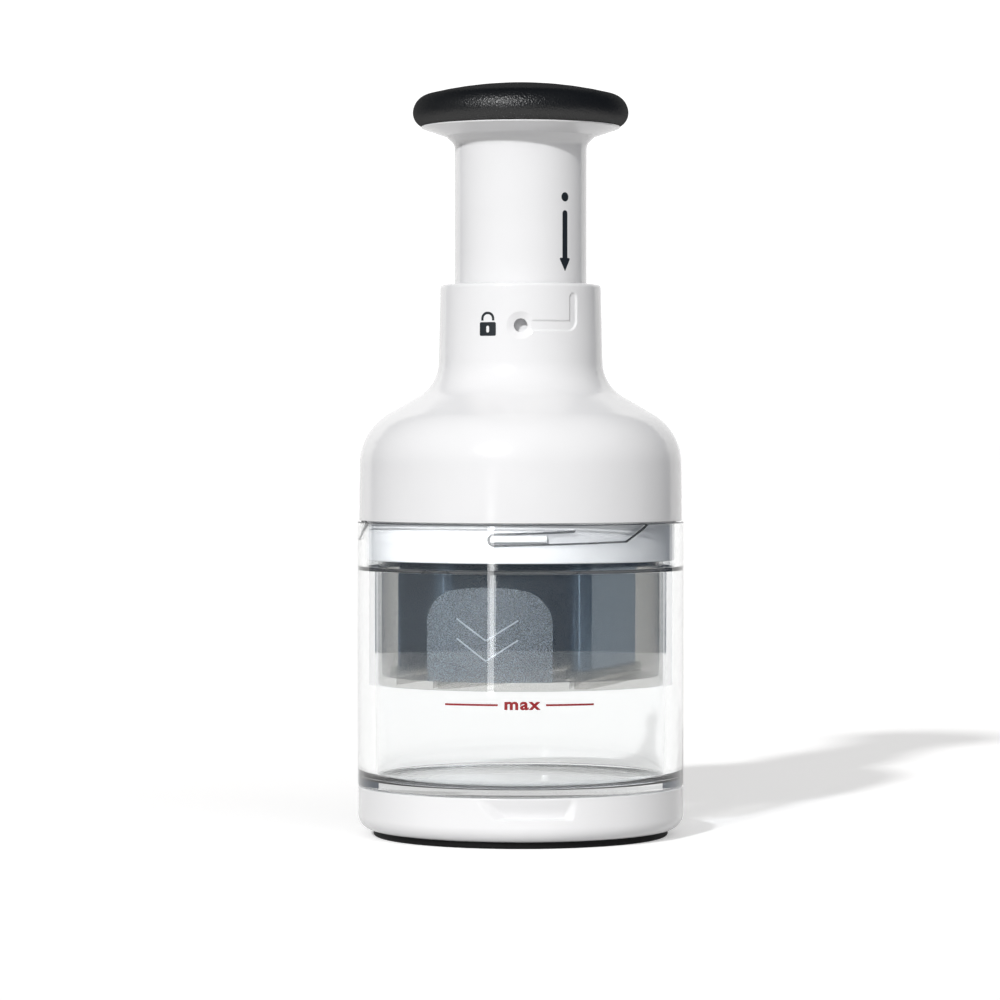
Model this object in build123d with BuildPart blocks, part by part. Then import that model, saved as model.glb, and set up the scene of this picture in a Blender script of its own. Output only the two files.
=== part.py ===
from build123d import *

from math import cos, radians, sin
import os

# Plunger food chopper. Pressing the knob drives a zigzag blade down through the slot
# of a clear shroud into the cup, and a helical slot turns the blade a little on every
# stroke. Millimetres, Z up, origin under the centre of the foot. The front is -Y, and
# angles "from the front" grow towards +X.

# ---------------------------------------------------------------- driving dimensions
# Gaps
seam_gap = 0.3            # between faces of different mouldings that meet
slide_gap = 0.25          # radial gap of a guided shaft or tube
nest_gap = 0.08           # radial gap where one moulding is pushed into another
cut_over = 1.0            # how far cutting tools reach past the faces they cut

# Foot and base cap
foot_t = 2.0              # foot ring that shows under the cap
foot_seat = 1.3           # depth of the groove that holds the foot ring
foot_w = 5.4
foot_inset = 4.5          # foot ring inside the cap's outer face
cap_inset = 0.15          # cap's outer face inside the cup's
cap_h = 12.8
cap_edge_r = 5.0          # rounding of the cap's lower edge
cap_land = 1.7            # cap's underside between the foot ring and the hollow
cap_recess_h = 3.4
cap_floor_t = 2.2
cap_wall = 2.8
scoop_left = -13.5        # finger scoop in the cap's front, at its top edge
scoop_right = 16.0
scoop_floor_left = -4.5
scoop_floor_right = 12.6
scoop_h = 6.0
scoop_depth = 2.2

# Cup
cup_r = 48.25
cup_wall = 5.55           # at the floor; the bore opens with draft up to the step
cup_draft = 0.5
cup_floor_rise = 1.7      # floor above the lower end of the outer wall
cup_floor_t = 2.5
cup_floor_fillet = 3.0
cup_depth = 76.0
collar_h = 13.7           # wide bore at the mouth, above the step
collar_wall = 2.45
spigot_wall = 2.6         # ring under the cup that plugs into the base cap
spigot_gap = 0.3
spigot_foot_gap = 0.3

# Bayonet: tracks in the cup's collar, lugs on the housing's ring
bayonet_count = 3
track_depth = 1.4
track_closed_x = -9.0
track_floor_z = 7.6       # above the step, at the closed end
track_floor_rise = 1.0
track_roof_z = 10.9
track_roof_rise = 0.8
track_entry_x = 15.4
track_ramp_x = 29.9
track_mouth_x = 38.1
track_corner_r = 1.5
lug_left_x = -8.5
lug_right_x = 7.3
lug_low_z = 8.6           # above the step
lug_high_z = 10.6
lug_proud = 1.4

# Bayonet ring under the housing
ring_wall = 1.8
ring_nest = 0.1           # gap to the housing around the tucked end
ring_drop = 11.5          # below the housing's lower edge
ring_tuck = 2.8           # above that edge, inside the shell
ring_flange_w = 9.5
ring_flange_t = 2.6
ring_lip_low = 2.9        # lip for the shroud's ring, above the ring's lower edge
ring_lip_t = 2.3

# Housing shell
housing_inset = 0.55      # housing's lower edge inside the cup's outer face
housing_draft = 0.3       # lower edge to shoulder
housing_h = 69.6
housing_wall = 2.1
shoulder_rise = 26.7      # lower edge up to the corner of wall and shoulder
shoulder_slope = 30.0
shoulder_fillet = 17.0
neck_wall = 2.27
neck_draft = 0.7          # neck's rim to its root
neck_fillet = 12.0
neck_rim_fillet = 1.1
groove_depth = 0.45       # L-shaped groove that shows how the knob locks
groove_w = 2.4
groove_h = 10.6           # upright leg of the groove, above the hole's height
hole_drop = 12.5          # indicator hole below the neck's rim
hole_r = 2.0
dimple_r = 4.1
dimple_angle = 120.0
dimple_lift = 0.1         # mouth of the dimple's cone outside the neck's face
lock_turn = 42.0

# Plunger tube and knob
tube_r = 19.5
tube_wall = 2.2
knob_gap = 3.5            # neck rim up to the root of the flange when pressed
stop_lug_h = 3.0
stop_lug_proud = 1.7
stop_lug_span = 20.0
stop_lug_first = 30.0     # first lug from the front
guide_wall = 1.6
guide_top_inset = 1.2     # guide's top below the neck rim
web_t = 3.0
web_drop = 8.2            # web's underside below the flange's root
flange_r = 29.3
flange_flare = 2.5        # root of the flange outside the tube
flange_fillet = 3.0
flange_root_rise = 2.3
flange_edge_rise = 4.8
flange_land = 0.4         # upright edge of the flange
core_inset = 1.1          # core's edge inside the flange's
core_t = 7.1
core_spigot_h = 5.0
pad_overhang = 0.3        # pad's lower edge outside the flange's
pad_bulge = 2.25          # widest part outside the lower edge
pad_edge_inset = 4.25     # where the dome turns into the rounded edge
pad_wide_rise = 4.2       # widest part above the pad's lower edge
pad_edge_rise = 9.3
pad_h = 12.7
pad_seat_gap = 0.1

# Chassis: disc, guide tower and hooks
chassis_inset = 0.5       # chassis edge inside the bayonet ring's outer face
chassis_t = 2.5
tower_wall = 2.35
tower_h = 26.6
key_w = 2.4
key_proud = 1.0           # keys on the drive sleeve
key_gap = 0.25
hook_side_gap = 0.7       # stop lugs to the hooks' upright walls
hook_wall = 2.5
hook_t = 2.2
hook_span = 22.0
hook_lug_gap = 0.4
stop_gap = 0.6            # tube's lower end above the chassis when pressed

# Screws
screw_r = 1.5
screw_head_r = 2.9
screw_head_h = 1.9
screw_l = 14.0
screw_inset = 5.0         # screw centres inside the bayonet ring's outer face
screw_count = 3
boss_r = 3.6

# Drive sleeve, spindle and the index drive
sleeve_r = 7.0
sleeve_end_gap = 1.2      # sleeve's lower end above the spindle's foot when pressed
sleeve_bore_l = 72.6
sleeve_flange_w = 2.0
sleeve_flange_t = 2.3
sleeve_neck_r = 5.0
key_l = 50.0
spindle_r = 4.6
spindle_l = 57.5
spindle_foot_w = 5.8      # foot's edge outside the spindle
spindle_foot_t = 2.2
index_turn = 30.0         # turn of the blade in one stroke
index_lift = 6.5          # overrun of the sleeve that drives the turn
index_pin_r = 1.4
index_pin_inset = 0.3     # pin's ends inside the sleeve's face
index_pin_z = 25.5        # above the blade carrier's top
index_steps = 10
washer_t = 1.4
washer_gap = 0.2
index_wire = 0.9
index_coil_r = 3.3
index_coils = 9.0
shoulder_screw_r = 2.0
shoulder_head_r = 7.2
shoulder_head_h = 3.2
shoulder_screw_l = 14.0

# Return spring
return_wire = 1.6
return_coils = 14.0
spring_side_gap = 2.1     # tower to the inside of the coils
spring_end_gap = 0.05
seat_overhang = 1.7       # seat's edge outside the coils
seat_t = 2.0

# Blade and what holds it
blade_t = 0.6
blade_tuck = 3.6          # cutting edge above the shroud's lower face at rest
blade_floor_gap = 0.3     # cutting edge above the floor when pressed
blade_tenon_h = 3.0       # blade's upper edge inside the carrier
blade_bend_r = 2.7        # middle of the sheet, where one leg turns into the next
blade_bend_inset = 4.4    # bends' centres inside the clamp's edge
tight_bend_angle = 29.9
open_bend_angle = -38.1
blade_end_inset = 1.85    # blade's ends inside the clamp's edge
blade_end_angle = -71.8
carrier_side_gap = 0.62
carrier_t = 5.5
carrier_gap = 0.8         # carrier's top below the bayonet ring's flange
clamp_t = 2.4
clamp_inset = 0.7         # clamp's edge inside the carrier's
clamp_screw_r = 1.2
clamp_screw_head_r = 2.4
clamp_screw_head_h = 1.4
clamp_screw_l = 6.0
clamp_screw_side = 27.3   # screws between the outer legs
clamp_screw_side_angle = -77.0
clamp_screw_middle = 17.0  # screws between the middle legs
clamp_screw_middle_angle = 16.5
spindle_screw_l = 5.0
spindle_screw_angle = 56.4

# Shroud and the ring that holds it
shroud_gap = 0.5          # shroud to the cup's bore at the floor
shroud_wall = 1.2
shroud_h = 41.8
wiper_t = 2.5
wiper_rim_h = 5.5
wiper_rim_w = 1.2
slot_gap = 0.35           # blade to the sides of the shroud's slot
hanger_wall = 1.0
hanger_drop = 7.1
hanger_flange_t = 2.0
pad_angle = -12.6         # thumb pad's middle from the front
pad_half_w = 18.2
pad_low = 2.5
pad_top = 29.9
pad_shoulder_z = 27.9     # where the crowned top meets the sides
pad_corner_r = 10.0
pad_proud = 0.3

# ---------------------------------------------------------- derived radii, outside in
cap_r = cup_r - cap_inset
cap_bore_r = cap_r - cap_wall
spigot_r = cap_bore_r - spigot_gap
foot_r = cap_r - foot_inset
foot_in_r = foot_r - foot_w
cap_recess_r = foot_in_r - cap_land
cup_floor_r = cup_r - cup_wall
cup_step_r = cup_floor_r + cup_draft
collar_bore_r = cup_r - collar_wall
ring_r = collar_bore_r - seam_gap
ring_flange_in_r = ring_r - ring_flange_w
housing_low_r = cup_r - housing_inset
housing_shoulder_r = housing_low_r - housing_draft
ring_tuck_r = housing_low_r - housing_wall - ring_nest
chassis_r = ring_tuck_r - chassis_inset
screw_circle_r = ring_r - screw_inset
shroud_r = cup_floor_r - shroud_gap
shroud_in_r = shroud_r - shroud_wall
ring_lip_in_r = shroud_r + shroud_gap
hanger_flange_r = ring_r - ring_wall - seam_gap
hanger_r = shroud_in_r - nest_gap
carrier_r = hanger_r - hanger_wall - carrier_side_gap
clamp_r = carrier_r - clamp_inset
neck_bore_r = tube_r + slide_gap + guide_wall + nest_gap
neck_top_r = neck_bore_r + neck_wall
neck_low_r = neck_top_r + neck_draft
stop_lug_r = tube_r + stop_lug_proud
hook_r = stop_lug_r + hook_side_gap + hook_wall
flange_root_r = tube_r + flange_flare
core_r = flange_r - core_inset
pad_low_r = flange_r + pad_overhang
pad_r = pad_low_r + pad_bulge
pad_dome_r = pad_r - pad_edge_inset
sleeve_bore_r = spindle_r + slide_gap
sleeve_flange_r = sleeve_r + sleeve_flange_w
key_r = sleeve_r + key_proud
index_pin_half = sleeve_r - index_pin_inset
tower_r = sleeve_r + slide_gap + tower_wall
return_coil_r = tower_r + spring_side_gap + return_wire / 2
seat_r = return_coil_r + return_wire / 2 + seat_overhang

# ------------------------------------------------------------------- derived heights
cap_low_z = foot_t
cap_top_z = cap_low_z + cap_h
cap_floor_z = cap_low_z + cap_recess_h + cap_floor_t
cup_low_z = cap_top_z + seam_gap
cup_floor_z = cup_low_z + cup_floor_rise
cup_top_z = cup_floor_z + cup_depth
cup_step_z = cup_top_z - collar_h
housing_z = cup_top_z + seam_gap
housing_top_z = housing_z + housing_h
shoulder_z = housing_z + shoulder_rise
ring_low_z = housing_z - ring_drop
ring_top_z = housing_z + ring_tuck
flange_low_z = ring_top_z - ring_flange_t
chassis_z = ring_top_z
chassis_top_z = chassis_z + chassis_t
lip_z = ring_low_z + ring_lip_low
hanger_flange_z = lip_z + ring_lip_t + seam_gap
shroud_top_z = hanger_flange_z - seam_gap
shroud_z = shroud_top_z - shroud_h
blade_z = shroud_z + blade_tuck
blade_travel = blade_z - cup_floor_z - blade_floor_gap
plunger_stroke = blade_travel + index_lift
tube_low_z = chassis_top_z + stop_gap + plunger_stroke
tube_root_z = housing_top_z + knob_gap + plunger_stroke
stop_lug_top_z = tube_low_z + stop_lug_h
guide_low_z = stop_lug_top_z + seam_gap
guide_top_z = housing_top_z - guide_top_inset
web_z = tube_root_z - web_drop
web_top_z = web_z + web_t
flange_z = tube_root_z + flange_edge_rise
flange_top_z = flange_z + flange_land
pad_z = flange_top_z + pad_seat_gap
sleeve_flange_z = web_z - seam_gap - sleeve_flange_t
seat_z = sleeve_flange_z - seat_t
carrier_top_z = flange_low_z - carrier_gap
carrier_z = carrier_top_z - carrier_t
clamp_z = carrier_z - clamp_t
spindle_top_z = carrier_top_z + spindle_l
washer_z = spindle_top_z + washer_gap
blade_top_z = carrier_z + blade_tenon_h
foot_top_z = carrier_top_z + spindle_foot_t
sleeve_low_z = foot_top_z + index_lift + sleeve_end_gap
pin_z = carrier_top_z + index_pin_z
indicator_z = housing_top_z - hole_drop
screw_first = 180 / bayonet_count


# --------------------------------------------------------------------- small helpers
def radial_plane(from_front):
    """Plane through the axis: x runs outwards at an angle from the front, y runs up."""
    azimuth = radians(from_front - 90)
    outwards = (cos(azimuth), sin(azimuth), 0)
    return Plane(origin=(0, 0, 0), x_dir=outwards, z_dir=(sin(azimuth), -cos(azimuth), 0))


def add_ring(inner_r, outer_r, low_z, high_z, mode=Mode.ADD):
    """Ring between two heights, or a disc where the inner radius is nil."""
    with BuildSketch(Plane.XY.offset(low_z)) as section:
        Circle(outer_r)
        if inner_r > 0:
            Circle(inner_r, mode=Mode.SUBTRACT)
    extrude(section.sketch, amount=high_z - low_z, mode=mode)


def add_sector(inner_r, outer_r, low_z, high_z, start, end, mode=Mode.ADD):
    """Piece of a ring between two angles from the front."""
    with BuildSketch(radial_plane(start)) as section:
        Polygon((inner_r, low_z), (outer_r, low_z), (outer_r, high_z), (inner_r, high_z), align=None)
    revolve(section.sketch, axis=Axis.Z, revolution_arc=end - start, mode=mode)


def add_screws(places, head_r, head_h, shank_r, length, way=1):
    """Pan-head screws whose heads seat at the places given; way is 1 up or -1 down."""
    centre = Align.CENTER
    head_side, shank_side = (Align.MAX, Align.MIN) if way > 0 else (Align.MIN, Align.MAX)
    with Locations(*places):
        Cylinder(head_r, head_h, align=(centre, centre, head_side))
        Cylinder(shank_r, length, align=(centre, centre, shank_side))


def front_angles(first, count):
    """Evenly spread angles from the front."""
    return [first + 360 * turn / count for turn in range(count)]


def at_front_angle(radius, from_front, height):
    """Point at a radius and an angle from the front."""
    azimuth = radians(from_front - 90)
    return (radius * cos(azimuth), radius * sin(azimuth), height)


def name_and_write(builder, name):
    """Label the finished sub-part and write it as a STEP file."""
    builder.part.label = name
    export_step(builder.part, "parts/" + name + ".step")


os.makedirs("parts", exist_ok=True)

# ------------------------------------------------------------------ base cap and foot
# Tool for the finger scoop: deepest at its floor, fading out at the cap's top edge
scoop_z = cap_top_z - scoop_h
with BuildPart() as finger_scoop:
    with BuildSketch(Plane.XZ) as scoop_outline:
        Polygon(
            (scoop_left, cap_top_z + seam_gap),
            (scoop_floor_left, scoop_z),
            (scoop_floor_right, scoop_z),
            (scoop_right, cap_top_z + seam_gap),
            align=None,
        )
        fillet(scoop_outline.vertices().group_by(Axis.Y)[0], radius=scoop_h / 4)
    extrude(scoop_outline.sketch, amount=2 * cap_r)
    with BuildSketch(Plane.YZ.offset(-cap_r)) as scoop_side:
        Polygon(
            (-cap_r - cut_over, scoop_z - cut_over),
            (scoop_depth - cap_r, scoop_z - cut_over),
            (scoop_depth - cap_r, scoop_z),
            (-cap_r, cap_top_z - seam_gap),
            (-cap_r - cut_over, cap_top_z - seam_gap),
            align=None,
        )
    extrude(scoop_side.sketch, amount=2 * cap_r, mode=Mode.INTERSECT)

with BuildPart() as base_cap:
    with BuildSketch(Plane.XZ) as cap_section:
        Polygon(
            (0, cap_low_z + cap_recess_h),
            (cap_recess_r, cap_low_z + cap_recess_h),
            (cap_recess_r, cap_low_z),
            (cap_r, cap_low_z),
            (cap_r, cap_top_z),
            (cap_bore_r, cap_top_z),
            (cap_bore_r, cap_floor_z),
            (0, cap_floor_z),
            align=None,
        )
        fillet(cap_section.vertices().sort_by_distance((cap_r, cap_low_z))[0], radius=cap_edge_r)
    revolve(cap_section.sketch, axis=Axis.Z)
    add_ring(foot_in_r - nest_gap, foot_r + nest_gap, cap_low_z, cap_low_z + foot_seat, Mode.SUBTRACT)
    add(finger_scoop.part, mode=Mode.SUBTRACT)
name_and_write(base_cap, "base_cap")

with BuildPart() as foot_ring:
    add_ring(foot_in_r, foot_r, 0, cap_low_z + foot_seat)
name_and_write(foot_ring, "foot_ring")

# --------------------------------------------------------------------------- the cup
# Tool for one bayonet track: closed at its left end, open to the rim at its right
with BuildPart() as bayonet_track:
    with BuildSketch(Plane.XZ) as track_outline:
        Polygon(
            (track_closed_x, cup_step_z + track_floor_z),
            (track_ramp_x, cup_step_z + track_floor_z + track_floor_rise),
            (track_mouth_x, cup_top_z + seam_gap),
            (track_entry_x, cup_top_z + seam_gap),
            (track_entry_x, cup_step_z + track_roof_z + track_roof_rise),
            (track_closed_x, cup_step_z + track_roof_z),
            align=None,
        )
        fillet(track_outline.vertices().group_by(Axis.X)[0], radius=track_corner_r)
    extrude(track_outline.sketch, amount=cup_r)
    track_out_r = collar_bore_r + track_depth
    add_ring(collar_bore_r - cut_over, track_out_r, cup_step_z, cup_top_z + cut_over, Mode.INTERSECT)

with BuildPart() as cup:
    with BuildSketch(Plane.XZ) as cup_section:
        Polygon(
            (0, cup_floor_z - cup_floor_t),
            (spigot_r - spigot_wall, cup_floor_z - cup_floor_t),
            (spigot_r - spigot_wall, cap_floor_z + spigot_foot_gap),
            (spigot_r, cap_floor_z + spigot_foot_gap),
            (spigot_r, cup_low_z),
            (cup_r, cup_low_z),
            (cup_r, cup_top_z),
            (collar_bore_r, cup_top_z),
            (collar_bore_r, cup_step_z),
            (cup_step_r, cup_step_z),
            (cup_floor_r, cup_floor_z),
            (0, cup_floor_z),
            align=None,
        )
        floor_corner = cup_section.vertices().sort_by_distance((cup_floor_r, cup_floor_z))[0]
        fillet(floor_corner, radius=cup_floor_fillet)
    revolve(cup_section.sketch, axis=Axis.Z)
    with PolarLocations(0, bayonet_count):
        add(bayonet_track.part, mode=Mode.SUBTRACT)
name_and_write(cup, "cup")

# ---------------------------------------------------------------- housing and its ring


def slope_z(radius, inset):
    """Height of the sloping shoulder at a radius, a given depth inside its outer face."""
    run = (housing_shoulder_r - radius) * sin(radians(shoulder_slope))
    return shoulder_z + (run - inset) / cos(radians(shoulder_slope))


def housing_face(low_r, shoulder_r, neck_r, top_r, inset):
    """Half section of the housing, inset from its outer face."""
    shoulder_corner = (shoulder_r, slope_z(shoulder_r, inset))
    neck_corner = (neck_r, slope_z(neck_r, inset))
    with BuildSketch(Plane.XZ) as face:
        Polygon(
            (0, housing_z),
            (low_r, housing_z),
            shoulder_corner,
            neck_corner,
            (top_r, housing_top_z),
            (0, housing_top_z),
            align=None,
        )
        fillet(face.vertices().sort_by_distance(shoulder_corner)[0], radius=shoulder_fillet - inset)
        fillet(face.vertices().sort_by_distance(neck_corner)[0], radius=neck_fillet + inset)
    return face.sketch


outer_face = housing_face(housing_low_r, housing_shoulder_r, neck_low_r, neck_top_r, 0)
inner_face = housing_face(
    housing_low_r - housing_wall,
    housing_shoulder_r - housing_wall,
    neck_bore_r,
    neck_bore_r,
    housing_wall,
)
boss_places = [at_front_angle(screw_circle_r, angle, chassis_top_z)
               for angle in front_angles(screw_first, screw_count)]

# Boss columns, cut off where they reach the shoulder's inner face
with BuildPart() as housing_bosses:
    with Locations(*boss_places):
        Cylinder(boss_r, shoulder_rise, align=(Align.CENTER, Align.CENTER, Align.MIN))
    revolve(outer_face, axis=Axis.Z, mode=Mode.INTERSECT)

with BuildPart() as housing_shell:
    revolve(outer_face, axis=Axis.Z)
    fillet(housing_shell.edges().group_by(Axis.Z)[-1], radius=neck_rim_fillet)
    revolve(inner_face, axis=Axis.Z, mode=Mode.SUBTRACT)
    add(housing_bosses.part)
    with Locations(*boss_places):
        Cylinder(
            screw_r + nest_gap / 2,
            screw_l,
            align=(Align.CENTER, Align.CENTER, Align.MIN),
            mode=Mode.SUBTRACT,
        )
    groove_in_r = neck_top_r - groove_depth
    groove_low_z = indicator_z - groove_w / 2
    upright = groove_w / (neck_top_r * radians(1))
    groove_out_r = neck_low_r + groove_depth
    groove_bend_z = groove_low_z + groove_w
    add_sector(groove_in_r, groove_out_r, groove_low_z, groove_bend_z, 0, lock_turn, Mode.SUBTRACT)
    add_sector(
        groove_in_r,
        groove_out_r,
        groove_low_z,
        groove_low_z + groove_h,
        lock_turn - upright / 2,
        lock_turn + upright / 2,
        Mode.SUBTRACT,
    )
    dimple_mouth = (0, -neck_top_r - dimple_lift, indicator_z)
    with Locations(Plane(origin=dimple_mouth, x_dir=(1, 0, 0), z_dir=(0, -1, 0))):
        CounterSinkHole(hole_r, dimple_r, depth=neck_top_r / 2, counter_sink_angle=dimple_angle)
name_and_write(housing_shell, "housing_shell")

with BuildPart() as neck_guide:
    add_ring(tube_r + slide_gap, tube_r + slide_gap + guide_wall, guide_low_z, guide_top_z)
    with Locations(Plane(origin=(0, -tube_r, indicator_z), x_dir=(1, 0, 0), z_dir=(0, -1, 0))):
        Cylinder(hole_r + seam_gap, 2 * tube_wall + 2 * guide_wall, mode=Mode.SUBTRACT)
name_and_write(neck_guide, "neck_guide")

# Tool for one bayonet lug
with BuildPart() as bayonet_lug:
    with BuildSketch(Plane.XZ) as lug_outline:
        lug_rise = track_floor_rise * (lug_right_x - lug_left_x) / (track_ramp_x - track_closed_x)
        Polygon(
            (lug_left_x, cup_step_z + lug_low_z),
            (lug_right_x, cup_step_z + lug_low_z + lug_rise),
            (lug_right_x, cup_step_z + lug_high_z),
            (lug_left_x, cup_step_z + lug_high_z),
            align=None,
        )
    extrude(lug_outline.sketch, amount=cup_r)
    add_ring(ring_r - ring_wall / 2, ring_r + lug_proud, ring_low_z, housing_z, Mode.INTERSECT)

screw_places = [at_front_angle(screw_circle_r, angle, flange_low_z + screw_head_h + nest_gap)
                for angle in front_angles(screw_first, screw_count)]

with BuildPart() as bayonet_ring:
    add_ring(ring_r - ring_wall, ring_r, ring_low_z, housing_z)
    add_ring(ring_r - ring_wall, ring_tuck_r, housing_z, ring_top_z)
    add_ring(ring_flange_in_r, ring_tuck_r, flange_low_z, ring_top_z)
    add_ring(ring_lip_in_r, ring_r, lip_z, lip_z + ring_lip_t)
    with PolarLocations(0, bayonet_count):
        add(bayonet_lug.part)
    with Locations(*screw_places):
        Cylinder(screw_r + nest_gap, 4 * ring_flange_t, mode=Mode.SUBTRACT)
        Cylinder(
            screw_head_r + nest_gap,
            2 * screw_head_h,
            align=(Align.CENTER, Align.CENTER, Align.MAX),
            mode=Mode.SUBTRACT,
        )
name_and_write(bayonet_ring, "bayonet_ring")

with BuildPart() as chassis_screws:
    add_screws(screw_places, screw_head_r, screw_head_h, screw_r, screw_l)
name_and_write(chassis_screws, "chassis_screws")

# Chassis: closes the housing, guides the drive sleeve and holds the locking hooks
tower_top_z = chassis_top_z + tower_h
hook_z = tube_low_z - plunger_stroke + stop_lug_h + hook_lug_gap
hook_angles = front_angles(stop_lug_first - lock_turn, bayonet_count)
with BuildPart() as chassis:
    add_ring(0, chassis_r, chassis_z, chassis_top_z)
    add_ring(0, tower_r, chassis_top_z, tower_top_z)
    for angle in hook_angles:
        start = angle - hook_span / 2
        end = angle + hook_span / 2
        add_sector(hook_r - hook_wall, hook_r, chassis_top_z, hook_z + hook_t, start, end)
        add_sector(tube_r + hook_lug_gap, hook_r, hook_z, hook_z + hook_t, start, end)
    add_ring(0, sleeve_r + slide_gap, chassis_z, tower_top_z, Mode.SUBTRACT)
    with Locations((0, 0, chassis_z)):
        Box(
            2 * (key_r + key_gap),
            key_w + 2 * key_gap,
            2 * (tower_top_z - chassis_z + cut_over),
            mode=Mode.SUBTRACT,
        )
    with Locations(*screw_places):
        Cylinder(screw_r + nest_gap, 4 * chassis_t, mode=Mode.SUBTRACT)
name_and_write(chassis, "chassis")

# ------------------------------------------------------------ plunger tube and its knob
with BuildPart() as plunger_tube:
    with BuildSketch(Plane.XZ) as tube_section:
        Polygon(
            (tube_r - tube_wall, tube_low_z),
            (tube_r, tube_low_z),
            (tube_r, tube_root_z),
            (flange_root_r, tube_root_z + flange_root_rise),
            (flange_r, flange_z),
            (flange_r, flange_top_z),
            (tube_r - tube_wall, flange_top_z),
            align=None,
        )
        root_corner = tube_section.vertices().sort_by_distance((tube_r, tube_root_z))[0]
        fillet(root_corner, radius=flange_fillet)
    revolve(tube_section.sketch, axis=Axis.Z)
    add_ring(sleeve_neck_r + slide_gap, tube_r - tube_wall / 2, web_z, web_top_z)
    for angle in front_angles(stop_lug_first, bayonet_count):
        start = angle - stop_lug_span / 2
        end = start + stop_lug_span
        add_sector(tube_r - tube_wall / 2, stop_lug_r, tube_low_z, stop_lug_top_z, start, end)
name_and_write(plunger_tube, "plunger_tube")

with BuildPart() as knob_core:
    add_ring(0, core_r, flange_top_z, flange_top_z + core_t)
    fillet(knob_core.edges().group_by(Axis.Z)[-1], radius=core_t / 3)
    spigot_out_r = tube_r - tube_wall - nest_gap
    add_ring(spigot_out_r - 2 * tube_wall, spigot_out_r, flange_top_z - core_spigot_h, flange_top_z)
name_and_write(knob_core, "knob_core")

pad_crown_z = pad_z + pad_h
with BuildPart() as grip_pad:
    with BuildSketch(Plane.XZ) as pad_section:
        with BuildLine():
            dome_edge = (pad_dome_r, pad_z + pad_edge_rise)
            dome_mid = (pad_dome_r / 2, pad_crown_z - (pad_h - pad_edge_rise) / 4)
            dome = ThreePointArc((0, pad_crown_z), dome_mid, dome_edge)
            shoulder = TangentArc(dome @ 1, (pad_r, pad_z + pad_wide_rise), tangent=dome % 1)
            lower = TangentArc(shoulder @ 1, (pad_low_r, pad_z), tangent=shoulder % 1)
            cavity_r = core_r + nest_gap
            cavity_z = pad_z + core_t
            Polyline(lower @ 1, (cavity_r, pad_z), (cavity_r, cavity_z), (0, cavity_z), (0, pad_crown_z))
        make_face()
    revolve(pad_section.sketch, axis=Axis.Z)
name_and_write(grip_pad, "grip_pad")

# ------------------------------------------------------- drive sleeve and return spring
sleeve_bore_z = sleeve_low_z + sleeve_bore_l
sleeve_top_z = web_top_z + seam_gap
with BuildPart() as drive_sleeve:
    add_ring(0, sleeve_r, sleeve_low_z, sleeve_flange_z)
    add_ring(0, sleeve_flange_r, sleeve_flange_z, sleeve_flange_z + sleeve_flange_t)
    add_ring(0, sleeve_neck_r, sleeve_flange_z, sleeve_top_z)
    with Locations((0, 0, sleeve_low_z)):
        Box(2 * key_r, key_w, key_l, align=(Align.CENTER, Align.CENTER, Align.MIN))
    add_ring(0, sleeve_bore_r, sleeve_low_z, sleeve_bore_z, Mode.SUBTRACT)
    with Locations((0, 0, sleeve_top_z)):
        Cylinder(
            shoulder_screw_r,
            shoulder_screw_l,
            align=(Align.CENTER, Align.CENTER, Align.MAX),
            mode=Mode.SUBTRACT,
        )
    # Helical slots: the cross pin climbs them as the sleeve overruns the spindle
    for step in range(index_steps + 1):
        share = step / index_steps
        with Locations(Location((0, 0, pin_z + share * index_lift), (0, 0, 90 + share * index_turn))):
            Cylinder(index_pin_r + slide_gap, 4 * sleeve_r, rotation=(0, 90, 0), mode=Mode.SUBTRACT)
name_and_write(drive_sleeve, "drive_sleeve")

with BuildPart() as spring_seat:
    add_ring(sleeve_r + nest_gap, seat_r, seat_z, sleeve_flange_z)
name_and_write(spring_seat, "spring_seat")

with BuildPart() as shoulder_screw:
    add_screws(
        [(0, 0, sleeve_top_z)],
        shoulder_head_r,
        shoulder_head_h,
        shoulder_screw_r,
        shoulder_screw_l,
        way=-1,
    )
name_and_write(shoulder_screw, "shoulder_screw")


def coil_spring(coil_r, wire_d, low_z, high_z, coils):
    """Plain helical spring between two faces."""
    rise = high_z - low_z - wire_d - 2 * spring_end_gap
    with BuildPart() as spring:
        with BuildLine() as coil:
            start_z = low_z + wire_d / 2 + spring_end_gap
            Helix(pitch=rise / coils, height=rise, radius=coil_r, center=(0, 0, start_z))
        with BuildSketch(Plane(origin=coil.line @ 0, z_dir=coil.line % 0)):
            Circle(wire_d / 2)
        sweep(is_frenet=True)
    return spring


return_spring = coil_spring(return_coil_r, return_wire, chassis_top_z, seat_z, return_coils)
name_and_write(return_spring, "return_spring")

# ------------------------------------------------------------- spindle and index parts
spindle_screw_places = [
    at_front_angle(spindle_r + spindle_foot_w / 2, angle, foot_top_z - clamp_screw_head_h)
    for angle in front_angles(spindle_screw_angle, 2)
]
with BuildPart() as spindle:
    add_ring(0, spindle_r, carrier_top_z, spindle_top_z)
    with Locations((0, 0, pin_z)):
        Cylinder(index_pin_r, 4 * spindle_r, rotation=(90, 0, 0), mode=Mode.SUBTRACT)
    add_ring(0, spindle_r + spindle_foot_w, carrier_top_z, foot_top_z)
    with Locations(*spindle_screw_places):
        Cylinder(clamp_screw_r + nest_gap, 4 * spindle_foot_t, mode=Mode.SUBTRACT)
        Cylinder(
            clamp_screw_head_r + nest_gap,
            2 * clamp_screw_head_h,
            align=(Align.CENTER, Align.CENTER, Align.MIN),
            mode=Mode.SUBTRACT,
        )
name_and_write(spindle, "spindle")

with BuildPart() as spindle_screws:
    add_screws(
        spindle_screw_places,
        clamp_screw_head_r,
        clamp_screw_head_h,
        clamp_screw_r,
        spindle_screw_l,
        way=-1,
    )
name_and_write(spindle_screws, "spindle_screws")

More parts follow.
